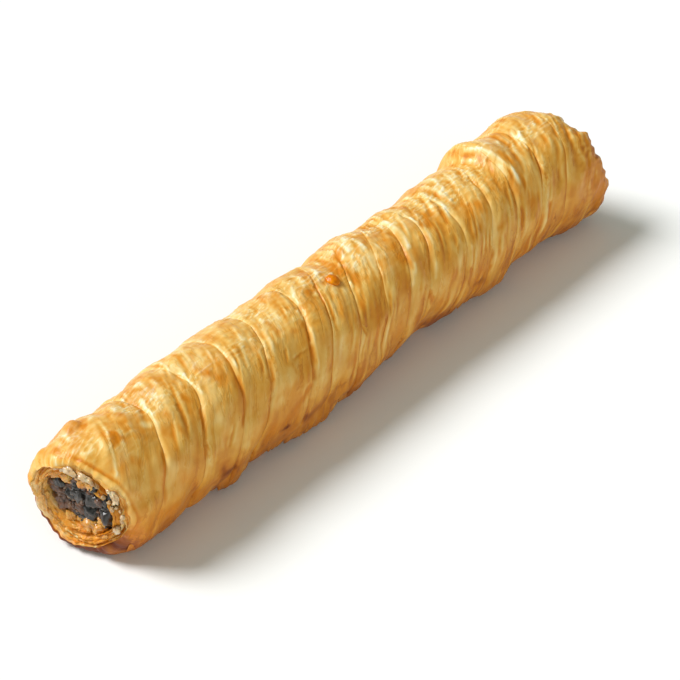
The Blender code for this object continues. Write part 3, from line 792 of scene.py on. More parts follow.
def minceMaterial():
    material, tree, shader = newMaterial("darkMince")
    shadeField = readField(tree, "shade").outputs["Fac"]
    place = addNode(tree, "ShaderNodeTexCoord").outputs["Object"]
    grain = noiseNode(tree, place, 700.0, 4.0, 0.65)
    coarse = noiseNode(tree, place, 260.0, 3.0, 0.6)
    shade = maths(tree, "ADD", shadeField, swing(tree, grain, minceLook["grain"]), True)
    tree.links.new(colourRamp(tree, shade, minceLook["ramp"]), shader.inputs["Base Color"])
    wave = bumpNode(tree, coarse, 0.5, 0.0008)
    tree.links.new(bumpNode(tree, grain, 0.6, 0.0004, wave), shader.inputs["Normal"])
    setSockets(shader, minceLook["gloss"])
    return material


def paleMaterial(name, coat, *colours):
    # onion and bits of soft pastry in the mouths
    material, tree, shader = newMaterial(name)
    place = addNode(tree, "ShaderNodeTexCoord").outputs["Object"]
    cloud = noiseNode(tree, place, 420.0, 3.0, 0.55)
    stops = [(step, srgb(*colour)) for step, colour in zip((0.25, 0.5, 0.75), colours)]
    tree.links.new(colourRamp(tree, cloud, stops), shader.inputs["Base Color"])
    tree.links.new(bumpNode(tree, cloud, 0.25, 0.0004), shader.inputs["Normal"])
    setSockets(shader, {
        "Roughness": 0.3, "Coat Weight": coat, "Coat Roughness": 0.1, "Subsurface Weight": 0.35,
        "Subsurface Radius": phylloLook["subsurfaceRadius"], "Subsurface Scale": 0.001,
    })
    return material


def caramelMaterial():
    material, tree, shader = newMaterial("caramelDrop")
    place = addNode(tree, "ShaderNodeTexCoord").outputs["Object"]
    cloud = noiseNode(tree, place, 330.0, 3.0, 0.6)
    stops = ((0.3, srgb(212, 108, 0)), (0.5, srgb(228, 132, 0)), (0.7, srgb(240, 158, 8)))
    tree.links.new(colourRamp(tree, cloud, stops), shader.inputs["Base Color"])
    tree.links.new(bumpNode(tree, cloud, 0.5, 0.0005), shader.inputs["Normal"])
    setSockets(shader, {
        "Roughness": 0.4, "Specular IOR Level": 0.1, "Coat Weight": 0.15, "Coat Roughness": 0.1,
    })
    return material


phyllo = phylloMaterial()
soaked = soakedMaterial()
mince = minceMaterial()
onion = paleMaterial("paleOnion", 0.7, (150, 104, 58), (200, 164, 114), (238, 218, 182))
golden = paleMaterial("goldenBits", 0.35, (190, 118, 34), (212, 148, 58), (232, 186, 100))
caramel = caramelMaterial()
print("materials made")


# the pleated skin, in three lengths that meet at a crease

skin = {
    "steps": 312,
    "lipRings": (0, 0.16, 0.34, 0.54, 0.76, 1, 1.26, 1.56, 1.9, 2.3),
    "footRings": (1.7, 1.3, 0.95, 0.65, 0.4, 0.18),
    "pitch": 0.46,
    "firstLip": 0.55,
    "faceRings": 76,
    "cutRings": 5,
    "channelRings": 5,
    "hiddenTone": 0.4,
    "hiddenAmber": 0.3,
    # the first and last crease of each length
    "lengths": (("pastryNear", None, 3), ("pastryMiddle", 3, 9), ("pastryFar", 9, None)),
}

# depth of the end face from its outer edge (0) to the channel (1)
mouth = {
    "layers": (
        (0, 0), (0.1, 0.1), (0.24, 0.5), (0.34, 2), (0.46, 0.6), (0.62, 0.9), (0.72, 2.2),
        (0.86, 0.9), (1, 2.6),
    ),
    "wobble": 1.3,
    "raggedness": 0.45,
    "leanLoss": 0.4,
    "hood": (35, 80, 0.5),
    "flap": (248, 40, 1.5),
    "sheets": 7,
    "sheetDepth": 0.5,
    "tone": 0.58,
    # the angle and half width of its side painted paler, as if lit
    "paintedLitSide": (195, 95),
    # where the waves of each mouth start
    "phases": {"near": 2.1, "far": 0.6},
}


def panelRings(start, end):
    length = float(np.mean(end - start))
    first = skin["lipRings"][-1]
    last = skin["footRings"][0]
    count = max(2, round((length - first - last) / skin["pitch"]))
    middle = [start + first + (end - start - first - last) * step / count for step in range(1, count)]
    return [start + ring for ring in skin["lipRings"]] + middle + [end - ring for ring in skin["footRings"]]


def flapReach(x, radius, angle):
    flapAngle, flapSpread, reach = mouth["flap"]
    outer = smooth((radius / roll["radius"] - 0.72) / 0.12)
    return reach * lobe(angle, flapAngle, flapSpread) * outer * smooth(1.0 - x / 7.0)


def skinGrid(first, last, angle):
    # stations of every ring between two creases, and how far each is from its own creases
    lines = [nearEdge(angle)] + [creaseLine(pleat, angle) for pleat in pleats] + [farEdge(angle)]
    lips = [skin["firstLip"]] + [pleat[2] for pleat in pleats]
    start = 0 if first is None else first + 1
    stop = len(pleats) + 1 if last is None else last + 1
    rows, before, after, heights = [], [], [], []
    for index in range(start, stop):
        for x in panelRings(lines[index], lines[index + 1]):
            rows.append(x)
            before.append(x - lines[index])
            after.append(lines[index + 1] - x)
            heights.append(np.full_like(x, lips[index]))
    rows.append(lines[stop])
    if last is None:
        before.append(lines[stop] - lines[stop - 1])
        after.append(np.zeros_like(angle))
        heights.append(np.full_like(angle, lips[stop - 1]))
    else:
        before.append(np.zeros_like(angle))
        after.append(lines[stop + 1] - lines[stop])
        heights.append(np.full_like(angle, lips[stop]))
    return [np.array(part) for part in (rows, before, after, heights)]


def skinSurface(first, last, angle):
    x, before, after, lip = skinGrid(first, last, angle)
    turn = np.broadcast_to(angle, x.shape)
    toNear = x - nearEdge(turn)
    toFar = farEdge(turn) - x
    inside = smooth(toNear / wrinkles["margin"]) * smooth(toFar / wrinkles["margin"])
    folded = pleatHeight(before, after, lip, turn) + wrinkleHeight(x, turn) * inside
    detail = fineHeight(x, turn)
    fade = smooth(np.minimum(toNear, toFar) / 1.2)
    radius = girthAt(x, turn) + folded + swellHeight(x, turn) + skirtHeight(x, turn)
    radius = radius + lumpHeight(x, turn) + detail * (0.35 + 0.65 * fade)
    for side, distance in (("nearFlank", toNear), ("farFlank", toFar)):
        centre, spread, share = roll[side]
        radius = radius - rimDropAt(distance) * (1.0 - share * lobe(turn, centre, spread))
    return x, radius, folded + detail, before, after, turn


# 0 is the brownest pastry and 1 the palest; each value is how strongly one trait shows. Some traits paint
# light: the top, the relief, the foot and lip of each fold, the crinkles, creases, ridges, grooves and pale
# patches carry painted highlights and painted shade
toneLook = {
    "middle": 0.48,
    "top": 0.13,
    "smallReliefShading": 0.20,
    "largeReliefShading": 0.06,
    "footShade": 0.14,
    "lip": 0.10,
    "under": 0.48,
    "back": 0.06,
    "patches": 0.11,
    "streaks": 0.12,
    "mottle": 0.15,
    "crinklesAndHighlights": 0.26,
    "creaseLightAndShade": 0.13,
    "rims": 0.06,
    "farBrown": 0.30,
    "farPale": 0.14,
    "besideMouth": 0.07,
    "underMouth": 0.22,
    "ridge": 0.24,
    "groove": 0.17,
    "brown": 0.24,
    "pale": 0.22,
    "amber": 0.03,
}


def skinTone(x, relief, before, after, turn):
    small = relief - blurred(relief, 4, 4)
    large = relief - blurred(relief, 14, 14)
    across, upward = ringPlace(turn)
    fold = x - leanAt(turn)
    onTop = lobe(turn, 105.0, 66.0)
    low = 1.0 - 0.85 * smooth((turn - 55.0) / 30.0)
    farRim = smooth((x - 205.0) / 20.0)
    beside = smooth((30.0 - x) / 20.0)
    uneven = 0.75 + 1.2 * noiseOver(x * 0.07, across * 0.07, upward * 0.07)
    slow = noiseOver(x * 0.10 + 31.0, across * 0.10, upward * 0.10)
    drawn = noiseOver(fold * 0.22, across * 0.07, upward * 0.07 + 5.0)
    fine = noiseOver(fold * 0.62, across * 0.13, upward * 0.13 + 8.0)
    dots = noiseOver(x * 0.42, across * 0.75 + 3.0, upward * 0.75)
    litAndShadedCreases = fineWrinkles(x, turn)
    ridge = strokeField(ridges, x, turn)
    groove = strokeField(grooves, x, turn)
    amber, brown, pale = stainFields(x, turn)

    # butter gathers in the valleys, beside the near mouth and on the far flank; less amber goes on the lips
    # and on the crease sides painted pale as highlights, more on their sides painted as shade
    valleys = 0.2 * smooth(-1.6 * large - 0.1)
    spread = 0.4 * smooth(0.25 + 1.6 * noiseOver(x * 0.13, across * 0.13 + 40.0, upward * 0.13))
    spread = spread + 0.5 * np.clip(-fine, 0.0, 1.0) + 0.5 * np.clip(-dots, 0.0, 1.0) * onTop
    baked = 0.5 * smooth((36.0 - x) / 26.0) * lobe(turn, -8.0, 85.0) * (0.7 + 1.2 * slow)
    baked = baked + 0.35 * farRim * lobe(turn, 10.0, 90.0)
    litLipsAndCreases = 0.4 * np.exp(-before / 1.6) + 0.4 * litAndShadedCreases
    amber = np.clip(amber + baked + valleys + spread - litLipsAndCreases, 0.0, 1.0)

    traits = {
        # the top is painted paler: a painted highlight of the light from above
        "top": lobe(turn, 108.0, 78.0),
        # painted shade in the hollows of the relief and painted highlight on its raised parts
        "smallReliefShading": np.clip(small, -0.5, 0.4),
        "largeReliefShading": np.clip(large, -1.0, 1.0),
        # painted shade just before each crease, where the panel sinks into it, stronger on the low flank
        "footShade": -low * uneven * np.exp(-after / 1.1),
        # painted highlight on each lip just after its crease, where it faces the light
        "lip": (0.4 + 0.6 * low) * (np.exp(-before / 0.9) + 0.4 * np.exp(-before / 3.0)),
        "under": -lobe(turn, 265.0, 125.0),
        "back": -lobe(turn, 200.0, 50.0),
        "patches": slow + drawn,
        "streaks": fine * (0.5 + 0.5 * onTop) * (1.0 - 0.6 * calmFlank(x, turn)),
        "mottle": dots * (0.25 + 0.75 * onTop),
        # painted highlights along the crinkles of the top
        "crinklesAndHighlights": crinklesAndHighlights(x, turn),
        # painted highlight and painted shade along the two sides of each fine crease
        "creaseLightAndShade": litAndShadedCreases,
        "rims": -smooth(1.0 - np.minimum(x - nearEdge(turn), farEdge(turn) - x) / 4.0),
        "farBrown": -farRim * np.clip(0.3 + 1.6 * dots, 0.0, 1.0),
        "farPale": farRim * np.clip(-1.5 * slow, 0.0, 1.0),
        "besideMouth": beside * lobe(turn, 35.0, 45.0),
        "underMouth": -beside * lobe(turn, 300.0, 60.0),
        # painted highlight along the ridges and painted shade in the grooves
        "ridge": ridge,
        "groove": -groove,
        "brown": -brown,
        # pale patches, partly painted highlights
        "pale": pale,
        "amber": -amber,
    }
    tone = toneLook["middle"] + sum(toneLook[trait] * field for trait, field in traits.items())
    # less amber on the painted highlights of the ridges and pale patches, more in the grooves
    amber = np.clip(amber + 0.7 * groove - 0.8 * ridge - 0.8 * pale - 0.4 * brown, 0.0, 1.0)
    return np.clip(tone, 0.0, 1.0), amber


def faceSurface(edge, inward, outer, angle, phase):
    # the layered face of a mouth, from the skin's last ring in to the channel
    inner = channelRadius(angle)
    shares, depths = zip(*mouth["layers"])
    turn = np.radians(angle)
    hoodAngle, hoodSpread, hoodDepth = mouth["hood"]
    hood = 1.0 + hoodDepth * lobe(angle, hoodAngle, hoodSpread)
    side = lobe(angle, *mouth["paintedLitSide"])
    # paler towards the top, and the side painted as lit paler still
    base = mouth["tone"] + 0.10 * lobe(angle, 75.0, 85.0) + 0.32 * side
    wet = 0.6 + 0.8 * lobe(angle, 225.0, 110.0)
    rows, radii, tones, ambers = [], [], [], []
    for ring in range(1, skin["faceRings"] + 1):
        share = ring / skin["faceRings"]
        depth = np.interp(share, shares, depths)
        swirl = 1.0 - abs(2.0 * share - 1.0)
        waver = mouth["wobble"] * swirl * np.sin(turn * 2.0 + phase + 5.0 * share)
        place = np.broadcast_arrays(7.0 * share + phase, 2.2 * np.cos(turn), 2.2 * np.sin(turn))
        points = np.stack(place, axis=-1)
        rough = noiseAt(points)
        sheet = share * mouth["sheets"] + angle / 360.0 + 0.7 * rough + 0.25 * np.sin(3.0 * turn + phase)
        between = sheet - np.floor(sheet)
        gap = np.exp(-((between - 0.5) / 0.22) ** 2) * (1.0 - 0.75 * lobe(angle, 190.0, 85.0))
        fades = smooth((share - 0.04) / 0.1) * smooth((1.0 - share) / 0.06)
        grain = [reach * noiseAt(points * pitch) for pitch, reach in ((1.9, 0.55), (3.7, 0.5), (7.3, 0.35))]
        grain = wet * sum(grain)
        ragged = mouth["raggedness"] * np.sin(turn * 5.0 + phase * 3.0 + 9.0 * share) * (1.0 - share)
        sunk = mouth["sheetDepth"] * gap * fades * (0.7 + 0.9 * rough)
        face = edge(angle, 1.0 - mouth["leanLoss"] * share)
        rows.append(face + inward * (depth * hood + ragged + sunk + grain * fades))
        radii.append(outer + (inner - outer) * share + waver)
        # painted shade in the gaps between sheets, deeper in the face and nearer the channel
        shaded = 0.22 * gap * fades + 0.08 * depth / 2.6 + 0.10 * share
        tones.append(base - shaded + 0.25 * rough + 0.20 * grain)
        soaked = 0.35 - 0.10 * side + 0.5 * rough + 0.2 * share + 0.4 * gap - 0.4 * grain
        ambers.append(np.clip(soaked, 0.0, 0.9))
    return rows, radii, tones, ambers


def skinPiece(name, first, last):
    angle = np.arange(skin["steps"] + 1) * 360.0 / skin["steps"]
    x, radius, relief, before, after, turn = skinSurface(first, last, angle)
    tone, amber = skinTone(x, relief, before, after, turn)
    fields = [list(x), list(radius), list(tone), list(amber)]
    inner = channelRadius(angle)

    def addRing(station, reach):
        hidden = [np.full_like(angle, skin[field]) for field in ("hiddenTone", "hiddenAmber")]
        for field, row in zip(fields, (station, reach, *hidden)):
            field.append(row)

    def addFace(parts, turnedRound):
        for field, part in zip(fields, parts):
            field.extend(part[::-1] if turnedRound else part)

    if last is None:
        rimRadii["far"] = radius[-1]
        addFace(faceSurface(farEdge, -1.0, radius[-1], angle, mouth["phases"]["far"]), False)
    else:
        for ring in range(1, skin["cutRings"] + 1):
            addRing(x[-1], radius[-1] + (inner - radius[-1]) * (ring / skin["cutRings"]))
    face = None
    end = x[0]
    if first is None:
        rimRadii["near"] = radius[0]
        face = faceSurface(nearEdge, 1.0, radius[0], angle, mouth["phases"]["near"])
        end = face[0][-1]
    start = fields[0][-1]
    for ring in range(1, skin["channelRings"] + 1):
        addRing(start + (end - start) * (ring / (skin["channelRings"] + 1.0)), inner)
    if face:
        addFace(face, True)
    else:
        for ring in range(skin["cutRings"], 0, -1):
            addRing(x[0], radius[0] + (inner - radius[0]) * (ring / skin["cutRings"]))
    stations, radii, tones, ambers = [np.array(field + field[:1]) for field in fields]
    full = np.broadcast_to(angle, stations.shape)
    points = placed(stations - flapReach(stations, radii, full), radii, full)
    # the last column lies exactly on the first
    points[:, -1] = points[:, 0]
    piece = newGrid(name, skin["steps"], len(stations) - 1)
    setPoints(piece, points)
    folded = stations - leanAt(full)
    spread = np.stack((folded * 0.45, points[..., 1] / mm * 0.16, points[..., 2] / mm * 0.16), axis=-1)
    giveField(piece, "fold", spread.reshape(-1, 3))
    giveField(piece, "tone", tones.ravel())
    giveField(piece, "amber", ambers.ravel())
    closeSeams(piece)
    return piece


rimRadii = {}
for name, first, last in skin["lengths"]:
    piece = skinPiece(name, first, last)
    finishPiece(piece, phyllo, ("pastry",))
    print("skin", name, len(piece.data.polygons) * 2, "triangles")


# loose sheets: their edges in both mouths, and the torn skirt under the flank

sheets = {
    "thickness": 0.55,
    # from angle, to angle, share of the way to the channel at both, depth of the free edge and of
    # the root, how far the free edge curls outward, tone, amber
    "near": (
        (14, 116, 0.06, 0.18, 0.2, 4.2, 0.6, 0.62, 0.35), (-52, 26, 0.2, 0.3, 0.6, 4.6, 0.3, 0.62, 0.4),
        (-70, 8, 0.4, 0.52, 1.2, 5.2, 0.2, 0.72, 0.2), (-62, -6, 0.62, 0.76, 1.6, 5.4, -0.1, 0.74, 0.2),
        (218, 304, 0.06, 0.12, 0, 3.6, 0.5, 0.68, 0.35), (230, 290, 0.34, 0.46, 1, 4.6, 0.5, 0.74, 0.2),
    ),
    "far": (
        (-60, 40, 0.04, 0.1, -0.8, 3, 0.4, 0.34, 0.5), (34, 96, 0.03, 0.08, -0.6, 3, 0.5, 0.42, 0.5),
        (86, 170, 0.05, 0.12, -0.5, 3, 0.4, 0.52, 0.4), (160, 300, 0.08, 0.16, -0.4, 3.2, 0.4, 0.4, 0.5),
        (-20, 110, 0.3, 0.42, 0.4, 4, 0.3, 0.55, 0.4), (120, 250, 0.34, 0.48, 0.5, 4, 0.2, 0.56, 0.4),
        (230, 350, 0.36, 0.52, 0.6, 4.2, 0.3, 0.5, 0.5), (10, 130, 0.62, 0.78, 1.4, 5, -0.2, 0.6, 0.3),
        (150, 290, 0.64, 0.8, 1.5, 5, 0.1, 0.55, 0.4),
    ),
    # from station, to station, angle of the root and of the free edge, how far it stands out, tone
    "skirts": (
        (8, 24, -30, -50, 1, 0.1), (27, 41, -32, -47, 0.8, 0.3), (43, 57, -24, -46, 1.5, 0.12),
        (64, 82, -20, -44, 1.6, 0.16), (78, 96, -27, -48, 1.7, 0.22), (97, 110, -30, -48, 1.2, 0.24),
        (128, 141, -26, -46, 0.9, 0.22), (149, 165, -18, -44, 1.1, 0.2), (163, 178, -28, -46, 1, 0.26),
        (186, 199, -34, -48, 0.5, 0.28), (202, 217, -24, -46, 0.8, 0.16),
    ),
    "rows": 60,
    "columns": 9,
    "raggedness": 0.25,
    "skirtAmber": 0.35,
}


def sheetGrid():
    # places along and across a sheet, from 0 to 1
    steps = [np.linspace(0.0, 1.0, sheets[way]) for way in ("rows", "columns")]
    return np.meshgrid(*steps, indexing="ij")


def sheetPiece(name, x, radius, angle, tone, amber):
    # a thin closed sheet round a middle surface, sharp at its edges
    middle = placed(x - flapReach(x, radius, angle), radius, angle) / mm
    normal = np.cross(np.gradient(middle, axis=0), np.gradient(middle, axis=1))
    normal /= np.maximum(np.linalg.norm(normal, axis=-1, keepdims=True), 1e-9)
    edge = 1.0
    for place, steepness in zip(sheetGrid(), (10.0, 5.0)):
        edge = edge * np.clip(steepness * np.minimum(place, 1.0 - place), 0.0, 1.0)
    lift = normal * (0.5 * sheets["thickness"] * np.sqrt(edge))[..., None]
    points = np.concatenate((middle + lift, (middle - lift)[:, ::-1]), axis=1)
    points[..., 2] = np.maximum(points[..., 2], 0.0)
    full = np.concatenate((angle, angle[:, ::-1]), axis=1)
    tone = np.concatenate((tone, tone[:, ::-1]), axis=1)
    piece = newGrid(name, 2 * sheets["columns"] - 1, sheets["rows"] - 1)
    setPoints(piece, points * mm)
    folded = points[..., 0] + 0.5 * roll["length"] - leanAt(full)
    spread = np.stack((folded * 0.55, points[..., 1] * 0.10, points[..., 2] * 0.10), axis=-1)
    giveField(piece, "fold", spread.reshape(-1, 3))
    giveField(piece, "tone", np.clip(tone, 0.0, 1.0).ravel())
    giveField(piece, "amber", np.full(tone.size, amber))
    closeSeams(piece)
    return piece


def joined(name, pieces):
    deselectAll()
    for piece in pieces:
        piece.select_set(True)
    bpy.context.view_layer.objects.active = pieces[0]
    bpy.ops.object.join()
    bpy.ops.object.shade_smooth()
    piece = bpy.context.object
    piece.name = name
    piece.data.name = name
    return piece


def mouthSheets(end, edge, inward):
    around = np.arange(skin["steps"] + 1) * 360.0 / skin["steps"]
    hoodAngle, hoodSpread, _ = mouth["hood"]
    length, width = sheetGrid()
    made = []
    for index, (a0, a1, s0, s1, front, root, curl, shade, amber) in enumerate(sheets[end]):
        angle = a0 + (a1 - a0) * length
        share = s0 + (s1 - s0) * length + 0.03 * np.sin(length * 9.0 + index)
        outer = np.interp(angle % 360.0, around, rimRadii[end])
        wander = noiseOver(angle * 0.06, index * 3.7, width)
        torn = noiseOver(angle * 0.14, index * 7.1, 0.0)
        radius = outer + (channelRadius(angle) - outer) * share + width ** 2 * (curl + 0.9 * wander)
        free = front + sheets["raggedness"] * torn + 0.7 * wander
        ends = np.clip(6.0 * np.minimum(length, 1.0 - length), 0.0, 1.0)
        depth = root + (free - root) * width * (0.55 + 0.45 * ends)
        hood = 1.0 + 0.25 * lobe(angle, hoodAngle, hoodSpread)
        x = edge(angle, 1.0 - mouth["leanLoss"] * share) + inward * depth * hood
        # painted shade towards the root, deep in the mouth; paler at the free edge
        tone = shade + 0.10 * width ** 3 - 0.25 * (1.0 - width) + 0.18 * wander
        made.append(sheetPiece(f"sheet{index}", x, radius, angle, tone, amber))
    return joined("sheets" + end.title(), made)


def skirtSheets():
    length, width = sheetGrid()
    ends = np.sqrt(np.clip(4.0 * length * (1.0 - length), 0.0, 1.0))
    made = []
    for index, (x0, x1, a0, a1, reach, shade) in enumerate(sheets["skirts"]):
        x = x0 + (x1 - x0) * length
        torn = noiseOver(x * 0.45, index * 5.3, 0.0)
        angle = a0 + (a1 - a0) * width * (0.4 + 0.6 * ends + 0.3 * torn)
        base = girthAt(x, angle) + swellHeight(x, angle) + 0.6 * skirtHeight(x, angle)
        radius = base - 0.5 + reach * width ** 1.5 * (0.5 + 0.5 * ends + 0.6 * torn)
        tone = shade + 0.22 * (1.0 - width) + 0.2 * torn
        made.append(sheetPiece(f"skirt{index}", x, radius, angle, tone, sheets["skirtAmber"]))
    return joined("skirtSheets", made)


for piece, look in (
    (mouthSheets("near", nearEdge, 1.0), soaked),
    (mouthSheets("far", farEdge, -1.0), soaked),
    (skirtSheets(), phyllo),
):
    finishPiece(piece, look)
    print("sheets", piece.name, len(piece.data.polygons) * 2, "triangles")


# the filling: a bumpy core with crumbs of mince and onion in both mouths

filling = {
    "gap": 0.45,
    "recess": 6.4,
    "dish": 1.2,
    "bumpPitch": 0.45,
    "bumpHeight": 0.9,
    "steps": 96,
    "capRings": 12,
    "sideRings": 40,
    # name, count, radii, depths, shares of the channel's radius, the arc they lie in, shades,
    # material, seed step
    "crumbs": (
        ("chunks", 50, (1.4, 3.4), (3.6, 5.2), None, None, (0.05, 0.1, 0.16, 0.22, 0.3, 0.62), mince, 0),
        ("mince", 130, (0.45, 1.1), (2.8, 4.4), None, None, (0.1, 0.3, 0.5, 0.7, 0.9), mince, 20),
        ("frontMince", 80, (0.5, 1.4), (1.7, 3.3), (0.9, 1.26), (14, 104),
         (0.08, 0.2, 0.3, 0.6, 0.75), mince, 30),
        ("brownMince", 34, (0.5, 1.3), (2.6, 3.6), (0, 0.55), (70, 250), (0.6, 0.72, 0.85), mince, 70),
        ("softBits", 36, (0.8, 1.7), (1.5, 3), (1.06, 1.34), (60, 150), (0,), golden, 40),
        ("lowBits", 18, (1.1, 2.3), (2.7, 4.2), (0.7, 1), (236, 352), (0,), golden, 50),
        ("onionBits", 9, (0.5, 0.9), (1, 1.8), (1.22, 1.34), (2, 60), (0,), onion, 60),
    ),
    # pale lumps: angle, radius, depth, half sizes along, round and outward, material
    "lumps": (
        (94, 13, 0.9, (0.9, 2.6, 1.4), onion), (83, 11.6, 1.5, (0.8, 1.3, 0.7), onion),
        (74, 13.2, 1.2, (0.9, 1.7, 1), onion), (64, 13.4, 1.3, (0.8, 1.9, 0.7), onion),
        (54, 13.2, 2, (0.6, 0.8, 0.5), onion), (42, 15, 1.6, (0.6, 0.8, 0.6), onion),
        (33, 15.2, 1.4, (0.9, 1.9, 1.3), onion), (20, 13.2, 1.6, (0.6, 0.9, 0.6), onion),
        (347, 13.4, 1.8, (0.8, 1.7, 1.1), onion), (106, 12.4, 1.5, (0.7, 1.1, 0.8), onion),
        (116, 13, 1.2, (0.8, 1.5, 0.8), onion), (128, 11.8, 1.6, (0.8, 1.1, 0.9), golden),
        (137, 11, 1.8, (0.8, 1.4, 1), golden), (237, 8.8, 3, (0.9, 1.6, 1.1), golden),
        (221, 12.4, 1.8, (0.9, 2.2, 1.4), golden), (252, 10.2, 2.4, (0.9, 1.7, 0.9), golden),
        (205, 13.8, 1.4, (0.8, 2, 1), golden), (192, 12.4, 2, (0.8, 1.4, 1), golden),
        (280, 9.6, 2.6, (0.8, 1.3, 0.8), golden), (318, 11.6, 2, (0.8, 1.4, 0.8), golden),
    ),
    "seed": 11,
}


def mouthPoint(edge, inward, angle, share, depth):
    # a place in a mouth: share of the channel's radius, and depth in from its face
    radius = (float(channelRadius(angle)) - filling["gap"]) * share
    face = float(edge(angle, radius / roll["radius"]))
    return Vector(placed(np.array(face + inward * depth), np.array(radius), np.array(angle)))


def fillingCore():
    angle = np.arange(filling["steps"] + 1) * 360.0 / filling["steps"]
    reach = channelRadius(angle) - filling["gap"]
    rows = []
    for edge, inward in ((nearEdge, 1.0), (farEdge, -1.0)):
        cap = []
        for ring in range(filling["capRings"] + 1):
            share = math.sin(0.5 * math.pi * ring / filling["capRings"])
            radius = reach * share
            sink = filling["recess"] + filling["dish"] * (1.0 - math.sqrt(max(0.0, 1.0 - share * share)))
            cap.append((edge(angle, radius / roll["radius"]) + inward * sink, radius))
        rows.append(cap)
    near, far = rows[0], rows[1][::-1]
    start, end = near[-1][0], far[0][0]
    count = filling["sideRings"]
    side = [(start + (end - start) * step / count, reach) for step in range(1, count)]
    stations = np.array([row[0] for row in near + side + far])
    radii = np.array([row[1] for row in near + side + far])
    full = np.broadcast_to(angle, stations.shape)
    points = placed(stations, radii, full)
    bumps = noiseAt(points / mm * filling["bumpPitch"])
    ends = np.ones(len(stations))
    ends[len(near):-len(far)] = 0.0
    points[..., 0] += bumps * filling["bumpHeight"] * mm * ends[:, None]
    points[0] = points[0].mean(axis=0)
    points[-1] = points[-1].mean(axis=0)
    points[:, -1] = points[:, 0]
    piece = newGrid("minceCore", filling["steps"], len(stations) - 1)
    setPoints(piece, points)
    giveField(piece, "shade", (0.3 + 0.35 * bumps).ravel())
    closeSeams(piece)
    return piece


def crumbMesh(name, radius, seed, fineness):
    # one crumb, modelled once: a ball pulled out of shape by noise
    deselectAll()
    bpy.ops.mesh.primitive_ico_sphere_add(subdivisions=fineness, radius=radius)
    piece = bpy.context.object
    piece.name = name
    for vert in piece.data.vertices:
        point = vert.co / radius
        swell = 1.0 + 0.42 * noise.noise(point * 1.3 + Vector((seed, 0.0, 0.0)))
        swell += 0.22 * noise.noise(point * 3.1 + Vector((0.0, seed, 0.0)))
        vert.co = vert.co * swell
    return piece


def copyOf(mould):
    copy = mould.copy()
    copy.data = mould.data.copy()
    bpy.context.scene.collection.objects.link(copy)
    return copy


def scatterCrumbs(name, edge, inward, row, seed, moulds):
    # copies of the moulds laid through a mouth, then joined
    _, count, radii, depths, shares, arc, shades, _, step = row
    draw = random.Random(seed + step)
    turnStep = math.pi * (3.0 - math.sqrt(5.0))
    copies = []
    for index in range(count):
        share = draw.uniform(*shares) if shares else math.sqrt((index + 0.5) / count)
        angle = math.degrees(index * turnStep) + draw.uniform(-9.0, 9.0)
        if arc:
            angle = draw.uniform(*arc)
        size = radii[0] + (radii[1] - radii[0]) * draw.random() ** 1.6
        if not shares:
            share = min(share, 1.0 - size * 0.75 / float(channelRadius(angle)))
            share *= 1.0 + 0.22 * float(lobe(angle, 70.0, 75.0))
        centre = mouthPoint(edge, inward, angle, share, draw.uniform(*depths) + 0.3 * size)
        copy = copyOf(moulds[index % len(moulds)])
        spin = draw.uniform(0.0, 6.28)
        axis = Vector((draw.random(), draw.random(), draw.random() + 0.1))
        stretch = Matrix.Diagonal((*[draw.uniform(0.75, 1.25) * size for _ in range(3)], 1.0))
        copy.data.transform(Matrix.Translation(centre) @ Matrix.Rotation(spin, 4, axis) @ stretch)
        giveField(copy, "shade", np.full(len(copy.data.vertices), draw.choice(shades)))
        copies.append(copy)
    return joined(name, copies)


def mouthLumps(name, edge, inward, material, moulds):
    copies = []
    for index, (angle, radius, depth, sizes, kind) in enumerate(filling["lumps"]):
        if kind != material:
            continue
        face = float(edge(angle, radius / roll["radius"]))
        centre = Vector(placed(np.array(face + inward * depth), np.array(radius), np.array(angle)))
        copy = copyOf(moulds[index % len(moulds)])
        turn = Matrix.Rotation(math.radians(90.0 - angle), 4, "X")
        copy.data.transform(Matrix.Translation(centre) @ turn @ Matrix.Diagonal((*sizes, 1.0)))
        copies.append(copy)
    return joined(name, copies)


def fillingPieces():
    finishPiece(fillingCore(), mince, ("filling",))
    # the smaller the crumb, the fewer faces it has
    moulds, middling, small = [
        [crumbMesh(f"mould{index}", mm, 3.7 * index + 1.0, fineness) for index in range(6)]
        for fineness in (4, 3, 2)
    ]
    seed = filling["seed"]
    lumps = (("onionLumps", onion, "minced_filling"), ("softLumps", golden, "baked_pastry"))
    for end, edge, inward, endSeed in (("Near", nearEdge, 1.0, seed), ("Far", farEdge, -1.0, seed + 1)):
        for row in filling["crumbs"]:
            name, largest, material = row[0] + end, row[2][1], row[-2]
            cast = small if largest < 1.2 else middling if largest < 1.5 else moulds
            slot = "baked_pastry" if material == golden else "minced_filling"
            finishPiece(scatterCrumbs(name, edge, inward, row, endSeed, cast), material)
        for name, kind, slot in lumps:
            finishPiece(mouthLumps(name + end, edge, inward, kind, moulds), kind)
    for mould in (*moulds, *middling, *small):
        bpy.data.objects.remove(mould, do_unlink=True)


fillingPieces()
print("filling made")


# the caramelised drop on the skin

drop = {
    "station": 109.3,
    "angle": 80.5,
    "lift": 0.1,
    "radii": (2, 2.2, 1.3),
    "swells": ((1.2, 0.16), (3.3, 0.05)),
}


